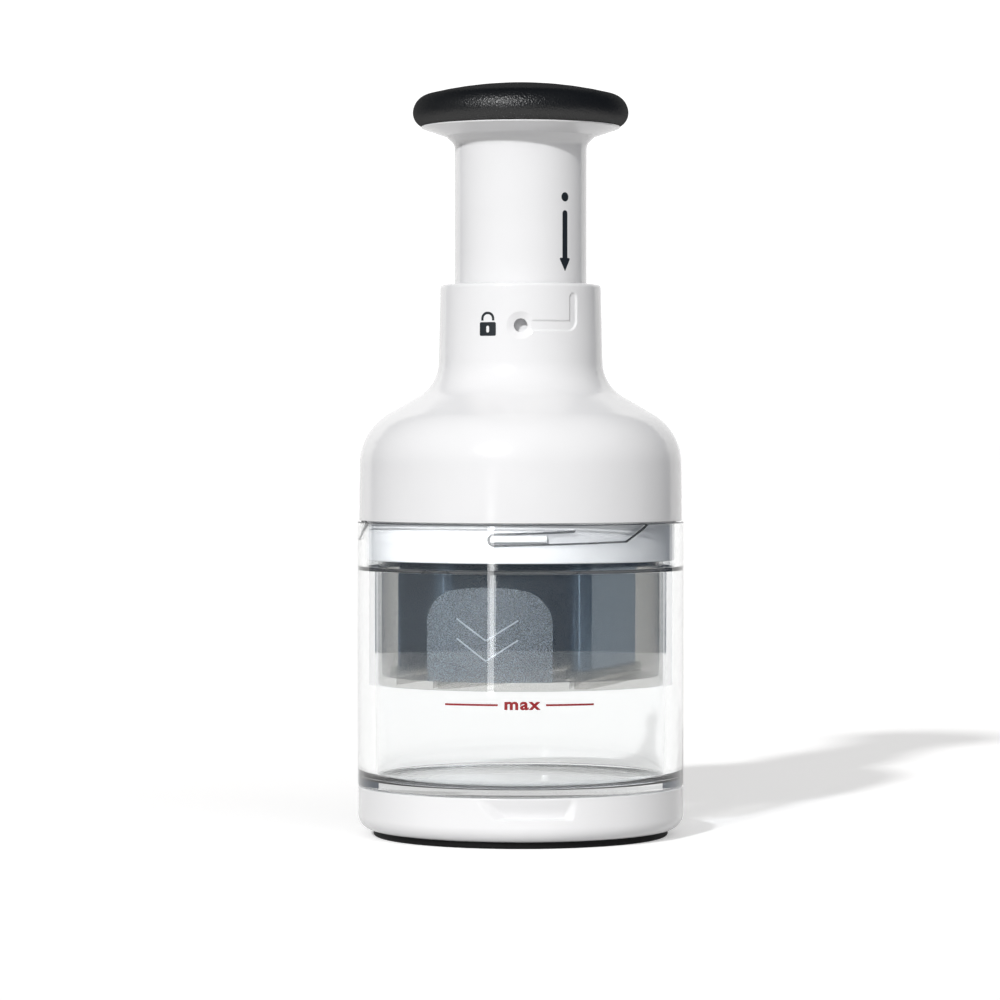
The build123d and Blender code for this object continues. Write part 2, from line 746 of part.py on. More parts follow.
with BuildPart() as index_pin:
    with Locations((0, 0, pin_z)):
        Cylinder(index_pin_r, 2 * index_pin_half, rotation=(90, 0, 0))
name_and_write(index_pin, "index_pin")

with BuildPart() as thrust_washer:
    add_ring(0, spindle_r, washer_z, washer_z + washer_t)
name_and_write(thrust_washer, "thrust_washer")

index_spring = coil_spring(index_coil_r, index_wire, washer_z + washer_t, sleeve_bore_z, index_coils)
name_and_write(index_spring, "index_spring")

# ------------------------------------------------------------------ blade and carrier


def blade_leg(start, start_r, finish, finish_r):
    """Straight leg that touches two bends; a bend to the left has a positive radius, an end has none."""
    gap = finish - start
    side = finish_r - start_r
    along = (gap.length ** 2 - side ** 2) ** 0.5
    normal = (gap * side + gap.rotate(Axis.Z, 90) * along) / gap.length ** 2
    return start - normal * start_r, finish - normal * finish_r


def add_blade_plan(widen, low_z, high_z, mode=Mode.ADD):
    """The zigzag blade's plan, widened each side and at its ends, between two heights."""
    end, wide, tight = (
        Vector(*at_front_angle(clamp_r - inset, angle, 0))
        for inset, angle in (
            (blade_end_inset, blade_end_angle),
            (blade_bend_inset, open_bend_angle),
            (blade_bend_inset, tight_bend_angle),
        )
    )
    end = end + (end + tight).normalized() * widen
    places = (end, -tight, wide, -wide, tight, -end)
    bend_radii = (0, -blade_bend_r, blade_bend_r, -blade_bend_r, blade_bend_r, 0)
    bends = list(zip(places, bend_radii))
    legs = [blade_leg(*start, *finish) for start, finish in zip(bends, bends[1:])]
    with BuildSketch(Plane.XY.offset(low_z)) as plan:
        with BuildLine():
            for leg in legs:
                Line(*leg)
            for before, after in zip(legs, legs[1:]):
                TangentArc(before[1], after[0], tangent=before[1] - before[0])
        trace(line_width=blade_t + 2 * widen)
    extrude(plan.sketch, amount=high_z - low_z, mode=mode)


clamp_screw_places = [
    at_front_angle(radius, first + half_turn, clamp_z)
    for radius, first in (
        (clamp_screw_side, clamp_screw_side_angle),
        (clamp_screw_middle, clamp_screw_middle_angle),
    )
    for half_turn in (0, 180)
]

with BuildPart() as blade:
    add_blade_plan(0, blade_z, blade_top_z)
name_and_write(blade, "blade")

with BuildPart() as blade_clamp:
    add_ring(0, clamp_r, clamp_z, carrier_z)
    add_blade_plan(nest_gap, clamp_z, carrier_z, Mode.SUBTRACT)
    with Locations(*clamp_screw_places):
        Cylinder(clamp_screw_r + nest_gap, 4 * clamp_t, mode=Mode.SUBTRACT)
name_and_write(blade_clamp, "blade_clamp")

with BuildPart() as blade_carrier:
    add_ring(0, carrier_r, carrier_z, carrier_top_z)
    add_blade_plan(nest_gap, carrier_z, blade_top_z + nest_gap, Mode.SUBTRACT)
    with Locations(*clamp_screw_places):
        Cylinder(
            clamp_screw_r,
            clamp_screw_l,
            align=(Align.CENTER, Align.CENTER, Align.MIN),
            mode=Mode.SUBTRACT,
        )
    with Locations(*spindle_screw_places):
        Cylinder(
            clamp_screw_r,
            spindle_screw_l,
            align=(Align.CENTER, Align.CENTER, Align.MAX),
            mode=Mode.SUBTRACT,
        )
name_and_write(blade_carrier, "blade_carrier")

with BuildPart() as clamp_screws:
    add_screws(clamp_screw_places, clamp_screw_head_r, clamp_screw_head_h, clamp_screw_r, clamp_screw_l)
name_and_write(clamp_screws, "clamp_screws")

# ------------------------------------------------------------- shroud and its hanger
with BuildPart() as shroud_ring:
    add_ring(hanger_r - hanger_wall, hanger_r, hanger_flange_z - hanger_drop, hanger_flange_z)
    add_ring(hanger_r - hanger_wall, hanger_flange_r, hanger_flange_z, hanger_flange_z + hanger_flange_t)
name_and_write(shroud_ring, "shroud_ring")

# Tool for the raised thumb pad: an upright slab with a crowned top, wrapped on the shroud
with BuildPart() as thumb_pad:
    with BuildSketch(Plane.XZ) as pad_outline:
        with BuildLine():
            pad_foot_z = shroud_z + pad_low
            pad_shoulder = (pad_half_w, shroud_z + pad_shoulder_z)
            side = Line((-pad_half_w, pad_foot_z), (-pad_half_w, shroud_z + pad_shoulder_z))
            crown = ThreePointArc(side @ 1, (0, shroud_z + pad_top), pad_shoulder)
            Polyline(crown @ 1, (pad_half_w, pad_foot_z), side @ 0)
        make_face()
        fillet(pad_outline.vertices().group_by(Axis.Y)[-1], radius=pad_corner_r)
    extrude(pad_outline.sketch, amount=cup_r)
    add_ring(shroud_in_r, shroud_r + pad_proud, shroud_z, shroud_top_z, Mode.INTERSECT)

with BuildPart() as shroud:
    add_ring(shroud_in_r, shroud_r, shroud_z, shroud_top_z)
    add_ring(0, shroud_r, shroud_z, shroud_z + wiper_t)
    add_blade_plan(slot_gap + wiper_rim_w, shroud_z, shroud_z + wiper_rim_h)
    add_blade_plan(slot_gap, shroud_z, shroud_z + wiper_rim_h, Mode.SUBTRACT)
    with Locations(Location((0, 0, 0), (0, 0, pad_angle))):
        add(thumb_pad.part)
name_and_write(shroud, "shroud")
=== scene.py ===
"""A press-down food chopper: its visible pieces, finishes and studio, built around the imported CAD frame."""

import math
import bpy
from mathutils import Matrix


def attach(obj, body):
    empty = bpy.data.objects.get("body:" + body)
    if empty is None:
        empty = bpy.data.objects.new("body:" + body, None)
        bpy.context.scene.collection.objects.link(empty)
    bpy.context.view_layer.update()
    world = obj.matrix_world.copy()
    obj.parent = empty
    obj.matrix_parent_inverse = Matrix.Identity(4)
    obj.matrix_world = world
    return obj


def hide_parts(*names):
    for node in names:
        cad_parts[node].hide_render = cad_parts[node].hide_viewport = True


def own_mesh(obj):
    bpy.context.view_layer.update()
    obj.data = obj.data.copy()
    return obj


bl_info = {
    "name": "Food Chopper",
    "version": (1, 0, 0),
    "blender": (4, 5, 0),
    "location": "3D View > Sidebar > Chopper",
    "description": "Builds the pieces, finishes and studio of a press-down food chopper on its CAD frame",
    "category": "Object",
}

import bmesh
import bpy
from mathutils import Matrix, Vector

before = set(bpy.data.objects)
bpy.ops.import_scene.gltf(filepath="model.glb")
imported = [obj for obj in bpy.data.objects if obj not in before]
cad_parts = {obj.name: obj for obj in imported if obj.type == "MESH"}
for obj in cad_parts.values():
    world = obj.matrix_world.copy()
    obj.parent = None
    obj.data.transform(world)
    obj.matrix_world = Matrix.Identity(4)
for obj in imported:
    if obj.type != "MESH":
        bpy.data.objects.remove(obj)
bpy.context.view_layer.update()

MM = 0.001
AROUND = 256          # facets round a turned piece
ARC_DIP = 0.006       # how far a drawn arc's facets may lie inside it, in millimetres
SHARP = math.radians(32)

# Heights and radii in millimetres, as on the CAD nodes
CAP_TOP = 14.8               # the base cap's rim
CUP_R = 48.22
STEP_Z = 79.1                # where the cup's wall widens into its collar
RIM_Z = 92.8                 # the cup's rim
COLLAR_R = 45.8              # inside of the collar
TRACK_R = 47.2               # bottom of the tracks in the collar
NECK_LOW = (24.4, 133.08)    # radius and height of the neck's foot
NECK_RIM = (23.7, 162.7)     # radius and height of its rim
TUBE_R = 19.5
HOLE_Z = 150.2               # middle of the indicator hole
SHROUD_Z = 45.0              # the shroud's lower face
PAD_SIDE = -12.6             # the thumb pad's middle, in degrees from the front
BLADE_THICK = 0.6
BLADE_Z = (48.6, 90.0)       # the cutting edge, and the blade's top

# The camera, in metres, and its lens in millimetres
EYE = (0, -1.2, 0.1192)
LOOKS_AT = (-0.0061, 0, 0.0991)
LENS = 145.94
SENSOR = 36.0


# ------------------------------------------------------------------ colours and nodes
def linear(hex_colour):
    """Linear RGB of an sRGB hex colour."""
    channels = [int(hex_colour[i:i + 2], 16) / 255 for i in (1, 3, 5)]
    return tuple(c / 12.92 if c <= 0.04045 else ((c + 0.055) / 1.055) ** 2.4 for c in channels)


def add_node(tree, kind, settings=None, inputs=None):
    """Adds a node, applies its settings, and fills its inputs with values or with other nodes' outputs."""
    node = tree.nodes.new(kind)
    for name, value in (settings or {}).items():
        setattr(node, name, value)
    for name, value in (inputs or {}).items():
        if isinstance(value, bpy.types.NodeSocket):
            tree.links.new(value, node.inputs[name])
        else:
            node.inputs[name].default_value = value
    return node


def start_material(name):
    """An empty node tree and its object coordinates."""
    material = bpy.data.materials.new(name)
    material.use_nodes = True
    tree = material.node_tree
    tree.nodes.clear()
    place = add_node(tree, "ShaderNodeTexCoord").outputs["Object"]
    return material, tree, place


def end_material(material, tree, shader, inside=None):
    """Wires the shader to the output, and what fills the inside of a solid that dims light."""
    inputs = {"Surface": shader, "Volume": inside} if inside else {"Surface": shader}
    add_node(tree, "ShaderNodeOutputMaterial", inputs=inputs)
    return material


def noise(tree, place, size_mm, detail=2.0):
    """Noise whose lumps are about as wide as the given millimetres."""
    inputs = {"Vector": place, "Scale": 1 / (size_mm * MM), "Detail": detail}
    return add_node(tree, "ShaderNodeTexNoise", inputs=inputs).outputs["Fac"]


def spread(tree, value, low, high):
    """Maps the middle of a noise to a range."""
    inputs = {"Value": value, "From Min": 0.3, "From Max": 0.7, "To Min": low, "To Max": high}
    return add_node(tree, "ShaderNodeMapRange", inputs=inputs).outputs["Result"]


def toned(tree, colour, value, drift):
    """The colour, a little lighter and darker along a noise."""
    lightness = spread(tree, value, 1 - drift, 1 + drift)
    inputs = {"Color": (*colour, 1), "Value": lightness}
    return add_node(tree, "ShaderNodeHueSaturation", inputs=inputs).outputs["Color"]


def bumped(tree, height, depth_mm):
    """Normal of a surface raised by the height, in millimetres at most."""
    inputs = {"Height": height, "Distance": depth_mm * MM, "Strength": 1.0}
    return add_node(tree, "ShaderNodeBump", inputs=inputs).outputs["Normal"]


def moulded(name, colour, rough, ripple_mm, deep_mm, uneven=0.03, drift=0.015, **constants):
    """Moulded plastic or rubber: tone and gloss drift slowly, and the skin ripples finely."""
    material, tree, place = start_material(name)
    cloud = noise(tree, place, 25)
    ripple = noise(tree, place, ripple_mm)
    inputs = {
        "Base Color": toned(tree, colour, cloud, drift),
        "Roughness": spread(tree, cloud, rough - uneven, rough + uneven),
        "Normal": bumped(tree, ripple, deep_mm),
        **constants,
    }
    shader = add_node(tree, "ShaderNodeBsdfPrincipled", inputs=inputs).outputs["BSDF"]
    return end_material(material, tree, shader)


def see_through(name, tint, shadow, rough, grain_mm, deep_mm, dimming=0.0):
    """Clear moulded SAN: lamps pass through it with a light shadow, and its thickness dims the view."""
    material, tree, place = start_material(name)
    grain = noise(tree, place, grain_mm)
    inputs = {
        "Base Color": (*tint, 1),
        "Roughness": spread(tree, noise(tree, place, 12), rough * 0.8, rough * 1.2),
        "IOR": 1.57,
        "Transmission Weight": 1.0,
        "Normal": bumped(tree, grain, deep_mm),
    }
    body = add_node(tree, "ShaderNodeBsdfPrincipled", inputs=inputs).outputs["BSDF"]
    passing = add_node(tree, "ShaderNodeBsdfTransparent", inputs={"Color": (*shadow, 1)}).outputs["BSDF"]
    lamp_ray = add_node(tree, "ShaderNodeLightPath").outputs["Is Shadow Ray"]
    shader = add_node(tree, "ShaderNodeMixShader", inputs={0: lamp_ray, 1: body, 2: passing}).outputs["Shader"]
    if not dimming:
        return end_material(material, tree, shader)
    inputs = {"Color": (*linear("#14121A"), 1), "Density": dimming}
    inside = add_node(tree, "ShaderNodeVolumeAbsorption", inputs=inputs).outputs["Volume"]
    return end_material(material, tree, shader, inside)


def steel(name, colour, rough, grain_mm, stretch, drift=0.04, deep_mm=0.002):
    """Steel with a fine grain, drawn out along the directions where stretch is small."""
    material, tree, place = start_material(name)
    stretched = add_node(tree, "ShaderNodeMapping", {"vector_type": "POINT"}, {"Vector": place, "Scale": stretch})
    grain = noise(tree, stretched.outputs["Vector"], grain_mm, 4.0)
    inputs = {
        "Base Color": toned(tree, colour, grain, drift),
        "Metallic": 1.0,
        "Roughness": spread(tree, grain, rough * 0.8, rough * 1.25),
        "Normal": bumped(tree, grain, deep_mm),
    }
    shader = add_node(tree, "ShaderNodeBsdfPrincipled", inputs=inputs).outputs["BSDF"]
    return end_material(material, tree, shader)


# -------------------------------------------------------------------------- mesh tools
def of_kind(geometry, kind):
    """The vertices or edges among what an operator returned."""
    return [item for item in geometry if isinstance(item, kind)]


def shift(bm, geometry, by):
    """Moves the vertices among what an operator returned."""
    bmesh.ops.translate(bm, vec=by, verts=of_kind(geometry, bmesh.types.BMVert))


def rotate(bm, degrees, axis):
    """Turns all that is drawn about an axis through the origin."""
    matrix = Matrix.Rotation(math.radians(degrees), 3, axis)
    bmesh.ops.rotate(bm, cent=(0, 0, 0), matrix=matrix, verts=bm.verts[:])


def heading(from_front, above=0.0, length=1.0):
    """Vector that points some degrees round from the front, which is -Y, and some degrees up."""
    around, level = math.radians(from_front), length * math.cos(math.radians(above))
    return Vector((level * math.sin(around), -level * math.cos(around), length * math.sin(math.radians(above))))


def line_to(bm, last, place):
    """Draws a straight edge from the last vertex."""
    new = bmesh.ops.extrude_vert_indiv(bm, verts=[last])["verts"][0]
    new.co = place
    return new


def arc_to(bm, last, centre, finish):
    """Swings the last vertex round a centre to the finish, leaving an arc."""
    start, end = last.co - centre, finish - centre
    turn = start.angle(end)
    facet = max(math.radians(2.5), 2 * math.acos(1 - min(1.0, ARC_DIP / start.length)))
    steps = max(2, math.ceil(turn / facet))
    swung = bmesh.ops.spin(
        bm, geom=[last], cent=centre, axis=start.cross(end).normalized(), angle=turn, steps=steps
    )
    return of_kind(swung["geom_last"], bmesh.types.BMVert)[0]


def bend_to(bm, last, along, finish):
    """Arc that leaves in a direction and meets the finish; returns its end and the direction there."""
    chord = finish - last.co
    across = (chord - along * chord.dot(along)).normalized()
    centre = last.co + across * chord.length_squared / (2 * chord.dot(across))
    leaving = 2 * chord * chord.dot(along) / chord.length_squared - along
    return arc_to(bm, last, centre, finish), leaving.normalized()


def draw(bm, corners, closed=False):
    """Draws a chain of edges through (place, radius) corners, rounding those that have a radius."""
    places = [Vector(place) for place, _ in corners]
    last = first = bm.verts.new(places[0])
    for index in range(1, len(corners)):
        corner, radius = places[index], corners[index][1]
        if radius:
            back = (places[index - 1] - corner).normalized()
            onward = (places[(index + 1) % len(places)] - corner).normalized()
            half = back.angle(onward) / 2
            last = line_to(bm, last, corner + back * radius / math.tan(half))
            centre = corner + (back + onward).normalized() * radius / math.sin(half)
            last = arc_to(bm, last, centre, corner + onward * radius / math.tan(half))
        else:
            last = line_to(bm, last, corner)
    if closed:
        bm.edges.new((last, first))
    bmesh.ops.remove_doubles(bm, verts=bm.verts[:], dist=0.001)


def drawn(corners, closed=True):
    """A chain drawn in the XZ plane through (x, z) or (x, z, rounding) corners."""
    bm = bmesh.new()
    draw(bm, [((x, 0, z), *(rounding or [0])) for x, z, *rounding in corners], closed)
    return bm


def turned(corners, closed=True):
    """A turned solid from the corners of its half section, as (radius, height, rounding)."""
    return turn(drawn(corners, closed))


def turn(bm, parts=((360, AROUND),)):
    """Spins the drawn section round the Z axis, through parts of (degrees, facets)."""
    geometry = bm.verts[:] + bm.edges[:]
    for degrees, steps in parts:
        spun = bmesh.ops.spin(
            bm,
            geom=geometry,
            cent=(0, 0, 0),
            axis=(0, 0, 1),
            angle=math.radians(degrees),
            steps=steps,
            use_merge=degrees == 360,
        )
        geometry = spun["geom_last"]
    bmesh.ops.remove_doubles(bm, verts=bm.verts[:], dist=0.002)
    return outwards(bm)


def turned_sector(corners, start, end):
    """Part of a turned solid, between two angles from the front, with closed ends."""
    bm = drawn(corners)
    face_front(bm, start)
    turn(bm, ((end - start, math.ceil(end - start)),))
    bmesh.ops.holes_fill(bm, edges=bm.edges[:], sides=0)
    return outwards(bm)


def face_front(bm, from_front):
    """Turns what is drawn at +X to an angle from the front."""
    rotate(bm, from_front - 90, "Z")


def outwards(bm):
    """Makes every face point out of its solid."""
    bmesh.ops.recalc_face_normals(bm, faces=bm.faces[:])
    return bm


def prism(corners, depth):
    """A solid raised straight from a closed outline."""
    bm = drawn(corners)
    bmesh.ops.contextual_create(bm, geom=bm.edges[:])
    shift(bm, bmesh.ops.extrude_face_region(bm, geom=bm.faces[:])["geom"], depth)
    return outwards(bm)


def join(bm, *others):
    """Adds the other shells to the first."""
    for other in others:
        mesh = bpy.data.meshes.new("shell")
        other.to_mesh(mesh)
        other.free()
        bm.from_mesh(mesh)
        bpy.data.meshes.remove(mesh)
    return bm


def through_modifier(bm, kind, tool=None, **settings):
    """The shape after one modifier, which may use a second shape as its tool."""
    shapes = [bm] + ([tool] if tool else [])
    objects = []
    for shape in shapes:
        mesh = bpy.data.meshes.new("work")
        shape.to_mesh(mesh)
        shape.free()
        objects.append(bpy.data.objects.new("work", mesh))
        bpy.context.collection.objects.link(objects[-1])
    modifier = objects[0].modifiers.new("work", kind)
    for name, value in settings.items():
        setattr(modifier, name, value)
    if tool:
        modifier.object = objects[1]
    result = bmesh.new()
    result.from_object(objects[0], bpy.context.evaluated_depsgraph_get())
    for item in objects:
        bpy.data.meshes.remove(item.data)
    return result


def combine(bm, tool, operation="DIFFERENCE"):
    """Cuts the tool from the shape, or joins or intersects the two."""
    return through_modifier(bm, "BOOLEAN", tool, operation=operation, solver="EXACT")


def copies_around(make, count=3):
    """Shells of the same tool, evenly spread round the axis."""
    bm = make()
    for index in range(1, count):
        other = make()
        rotate(other, 360 * index / count, "Z")
        join(bm, other)
    return bm


def place_piece(bm, name, body, material, stands_for=(), sharp=SHARP):
    """Makes a piece of the shape, with smooth faces and crisp edges, and lets it ride on its body."""
    for face in bm.faces:
        face.smooth = True
    for edge in bm.edges:
        edge.smooth = not (edge.is_manifold and edge.calc_face_angle() > sharp)
    bmesh.ops.scale(bm, vec=(MM, MM, MM), verts=bm.verts[:])
    mesh = bpy.data.meshes.new(name)
    bm.to_mesh(mesh)
    bm.free()
    mesh.materials.append(material)
    piece = bpy.data.objects.new(name, mesh)
    piece.modifiers.new("even walls", "WEIGHTED_NORMAL").keep_sharp = True
    bpy.context.collection.objects.link(piece)
    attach(piece, body)
    if stands_for:
        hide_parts(*stands_for)
    return piece


def merged(node):
    """A copy of a CAD node's shape with its loose triangles joined, in millimetres."""
    bm = bmesh.new()
    bm.from_mesh(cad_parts[node].data)
    bmesh.ops.scale(bm, vec=(1 / MM, 1 / MM, 1 / MM), verts=bm.verts[:])
    bmesh.ops.remove_doubles(bm, verts=bm.verts[:], dist=0.003)
    return bm


def softened(node, body, material):
    """A piece like the CAD node, with its sharp edges rounded."""
    piece = place_piece(merged(node), node + "_dressed", body, material, (node,))
    bevel = piece.modifiers.new("rounded edges", "BEVEL")
    bevel.width = sizes().edge_round
    bevel.segments = 2
    bevel.limit_method = "ANGLE"
    bevel.angle_limit = SHARP
    bevel.harden_normals = True
    return piece


def dress(node, material):
    """Gives a CAD node that keeps its shape its finish."""
    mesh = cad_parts[node].data
    mesh.materials.clear()
    mesh.materials.append(material)


def wrap(bm, radius_at, from_front=0.0):
    """Bends a drawing in the XZ plane round the axis; its Y runs into the face."""
    for vert in bm.verts:
        radius = radius_at(vert.co.z)
        angle = vert.co.x / radius + math.radians(from_front)
        out = radius - vert.co.y
        vert.co = (out * math.sin(angle), -out * math.cos(angle), vert.co.z)
    return bm


def printed(bm, thick):
    """A flat drawing cut into narrow upright strips and given the thickness of ink."""
    low = min(vert.co.x for vert in bm.verts)
    high = max(vert.co.x for vert in bm.verts)
    for step in range(1, math.ceil(high - low) * 2):
        everything = bm.verts[:] + bm.edges[:] + bm.faces[:]
        bmesh.ops.bisect_plane(bm, geom=everything, plane_co=(low + step / 2, 0, 0), plane_no=(1, 0, 0))
    shift(bm, bmesh.ops.extrude_face_region(bm, geom=bm.faces[:])["geom"], (0, thick, 0))
    return outwards(bm)


def flat_shape(*outlines):
    """Filled flat outlines in the XZ plane; one inside another is a hole."""
    bm = join(bmesh.new(), *(drawn(corners) for corners in outlines))
    bmesh.ops.triangle_fill(bm, use_beauty=True, edges=bm.edges[:])
    return bm


def flat_line(corners, wide):
    """A flat line of some width in the XZ plane: a folded wall's front faces."""
    bm = drawn(corners, closed=False)
    shift(bm, bmesh.ops.extrude_edge_only(bm, edges=bm.edges[:])["geom"], (0, 0.5, 0))
    bm = through_modifier(bm, "SOLIDIFY", thickness=wide, offset=0.0, use_even_offset=True)
    back = [face for face in bm.faces if not (abs(face.normal.y) > 0.9 and face.calc_center_median().y < 0.1)]
    bmesh.ops.delete(bm, geom=back, context="FACES")
    return bm


def neck_radius(z):
    """Radius of the neck's tapered face at a height."""
    share = (z - NECK_LOW[1]) / (NECK_RIM[1] - NECK_LOW[1])
    return NECK_LOW[0] + share * (NECK_RIM[0] - NECK_LOW[0])


def ramp(value, low, high):
    """Smooth step from 0 at low to 1 at high."""
    share = min(1.0, max(0.0, (value - low) / (high - low)))
    return share * share * (3 - 2 * share)


# ------------------------------------------------------------------------- the finishes
def gloss_abs():
    """White ABS from a polished mould: bright, with the faint ripple of a large moulded face."""
    skin = {"rough": 0.17, "ripple_mm": 2.2, "deep_mm": 0.0006, "uneven": 0.02}
    return moulded("gloss_white_abs", colours().body, **skin, IOR=1.53)


def satin_abs():
    """White ABS from a fine-etched mould: the same white, with a soft sheen."""
    return moulded("satin_white_abs", colours().body, rough=0.42, ripple_mm=0.5, deep_mm=0.004, IOR=1.53)


def grip_elastomer():
    """Soft black elastomer with a fine leather-like grain, dull but for a broad sheen where light grazes it."""
    material, tree, place = start_material("grained_black_elastomer")
    inputs = {"Vector": place, "Scale": 1 / sizes().grip_grain, "Smoothness": 0.6, "Randomness": 1.0}
    cells = add_node(tree, "ShaderNodeTexVoronoi", {"feature": "SMOOTH_F1"}, inputs).outputs["Distance"]
    cloud = noise(tree, place, 18)
    deep_mm, sheen_share = 0.14, 0.06
    skin = bumped(tree, cells, deep_mm)
    inputs = {"Color": toned(tree, colours().grip, cloud, 0.08), "Normal": skin}
    dull = add_node(tree, "ShaderNodeBsdfDiffuse", inputs=inputs).outputs["BSDF"]
    inputs = {"Roughness": spread(tree, cloud, 0.38, 0.44), "Normal": skin}
    sheen = add_node(tree, "ShaderNodeBsdfGlossy", inputs=inputs).outputs["BSDF"]
    shader = add_node(tree, "ShaderNodeMixShader", inputs={0: sheen_share, 1: dull, 2: sheen}).outputs["Shader"]
    return end_material(material, tree, shader)


def foot_rubber():
    """Matt black rubber: dusty rather than shiny."""
    skin = {"rough": 0.75, "ripple_mm": 0.3, "deep_mm": 0.01, "uneven": 0.05, "drift": 0.1}
    return moulded("matt_black_rubber", colours().foot, **skin, **{"Specular IOR Level": 0.2})


def clear_san():
    """Clear polished SAN: glass-like, with a trace of grey in its thick edges."""
    skin = {"rough": 0.01, "grain_mm": 6.0, "deep_mm": 0.0004}
    return see_through("clear_polished_san", colours().cup, (0.93, 0.94, 0.95), **skin, dimming=5.5)


def painted_shade_edge():
    """The cup's small rounded edges, tinted dark: painted shade for the dark lines that the bending of the view
    draws along them.
    """
    skin = {"rough": 0.3, "grain_mm": 3.0, "deep_mm": 0.001}
    return see_through("clear_san_painted_shade_edge", linear("#202326"), (0.7, 0.7, 0.72), **skin)


def milky(name, glow, haze, rough, grain_mm, deep_mm, speckle=0.0):
    """Smoke-grey translucent plastic: part of the light passes, and part is scattered in it with a glow."""
    material, tree, place = start_material(name)
    skin = bumped(tree, noise(tree, place, grain_mm), deep_mm)
    gloss = spread(tree, noise(tree, place, 12), rough * 0.8, rough * 1.2)
    tint = (*colours().shroud, 1)
    through = add_node(tree, "ShaderNodeBsdfTransparent", inputs={"Color": tint}).outputs["BSDF"]
    sheen = add_node(tree, "ShaderNodeBsdfGlossy", inputs={"Roughness": gloss, "Normal": skin}).outputs["BSDF"]
    mirror = add_node(tree, "ShaderNodeFresnel", inputs={"IOR": 1.49, "Normal": skin}).outputs["Fac"]
    inner = add_node(tree, "ShaderNodeNewGeometry").outputs["Backfacing"]
    mirror = add_node(tree, "ShaderNodeMix", inputs={0: inner, 2: mirror, 3: 0.0}).outputs[0]
    clear = add_node(tree, "ShaderNodeMixShader", inputs={0: mirror, 1: through, 2: sheen}).outputs["Shader"]
    inputs = {"Vector": place, "Scale": 1 / (grain_mm * MM)}
    cells = add_node(tree, "ShaderNodeTexVoronoi", inputs=inputs).outputs["Distance"]
    inputs = {"Value": cells, "From Max": 0.5, "To Min": haze + speckle, "To Max": haze}
    dots = add_node(tree, "ShaderNodeMapRange", inputs=inputs).outputs["Result"]
    cloudy = add_node(tree, "ShaderNodeBsdfDiffuse", inputs={"Color": (*glow, 1)}).outputs["BSDF"]
    lit = add_node(tree, "ShaderNodeBsdfTranslucent", inputs={"Color": (*glow, 1)}).outputs["BSDF"]
    scattered = add_node(tree, "ShaderNodeMixShader", inputs={0: 0.5, 1: cloudy, 2: lit}).outputs["Shader"]
    shader = add_node(tree, "ShaderNodeMixShader", inputs={0: dots, 1: clear, 2: scattered}).outputs["Shader"]
    return end_material(material, tree, shader)


def smoke_plastic():
    """Smoke-grey translucent polypropylene: it dims and slightly hazes what is behind it."""
    return milky("smoke_polypropylene", colours().haze, haze=0.1, rough=0.08, grain_mm=3.0, deep_mm=0.001)


def frosted_plastic():
    """The same polypropylene from a stippled part of the mould, which scatters light at each pip."""
    stipple = {"grain_mm": 0.5, "deep_mm": 0.02, "speckle": 0.45}
    return milky("frosted_polypropylene", colours().haze, haze=0.22, rough=0.3, **stipple)


def painted_highlight_ridge_plastic():
    """The polypropylene of the raised ridges, made paler and more scattering than the pad: painted highlight for
    the light that catches their edges.
    """
    return milky("polypropylene_painted_highlight", colours().painted_highlight_ridge, haze=0.6, rough=0.25, grain_mm=2.0, deep_mm=0.002)


def blade_steel():
    """Cold-rolled stainless strip: cool grey and mirror-like, with fine rolling lines along the strip."""
    skin = {"rough": 0.16, "grain_mm": 0.6, "drift": 0.02, "deep_mm": 0.0003}
    return steel("rolled_stainless_strip", colours().blade, stretch=(0.03, 0.03, 1.0), **skin)


def ground_steel():
    """The ground cutting edge: brighter, with fine lines across it."""
    return steel("ground_stainless_edge", colours().edge, rough=0.22, grain_mm=0.25, stretch=(1.0, 1.0, 0.1))


def shaft_steel():
    """Turned stainless bar, with fine rings."""
    colour = linear("#BFC1C2")
    return steel("turned_stainless_bar", colour, rough=0.28, grain_mm=0.3, stretch=(0.05, 0.05, 1.0))


def spring_steel():
    """Drawn spring wire, a little darker, with a dull gloss."""
    return steel("drawn_spring_wire", linear("#A9ABAD"), rough=0.3, grain_mm=0.4, stretch=(1.0, 1.0, 0.4))


def screw_steel():
    """Zinc-plated steel: pale and slightly cloudy."""
    colour = linear("#C9CCCE")
    return steel("zinc_plated_steel", colour, rough=0.34, grain_mm=1.0, stretch=(1.0, 1.0, 1.0), drift=0.08)


def holder_plastic():
    """Blue-grey moulded plastic of the blade's holder, with an even satin skin."""
    return moulded("blue_grey_plastic", colours().holder, rough=0.4, ripple_mm=0.6, deep_mm=0.004, IOR=1.5)


def acetal():
    """Natural acetal: milky white and waxy."""
    return moulded("natural_acetal", linear("#E4E3DC"), rough=0.35, ripple_mm=0.8, deep_mm=0.003, IOR=1.48)


def slate_ink():
    """Dark slate pad-print ink: thin, even and a little dull."""
    return moulded("slate_print", colours().marks, rough=0.35, ripple_mm=0.3, deep_mm=0.002, drift=0.05)


def red_ink():
    """Red screen-print ink on the cup."""
    return moulded("red_print", colours().fill_mark, rough=0.4, ripple_mm=0.3, deep_mm=0.002, drift=0.05)


# -------------------------------------------------------------------------- properties
class ChopperSizes(bpy.types.PropertyGroup):
    """Sizes of the details that the visible pieces add."""

    grip_grain: bpy.props.FloatProperty(
        name="Grip grain", description="Width of one pebble in the grip's skin", default=0.0005, unit="LENGTH"
    )
    edge_round: bpy.props.FloatProperty(
        name="Edge rounding", description="Rounding of the inner parts' edges", default=0.0002, unit="LENGTH"
    )
    groove_depth: bpy.props.FloatProperty(
        name="Groove depth", description="Depth of the lock groove in the neck", default=0.00045, unit="LENGTH"
    )
    ground_height: bpy.props.FloatProperty(
        name="Ground edge", description="Height of the blade's ground edge", default=0.0016, unit="LENGTH"
    )
    ink: bpy.props.FloatProperty(
        name="Ink thickness", description="Thickness of the printed marks", default=0.00003, unit="LENGTH"
    )


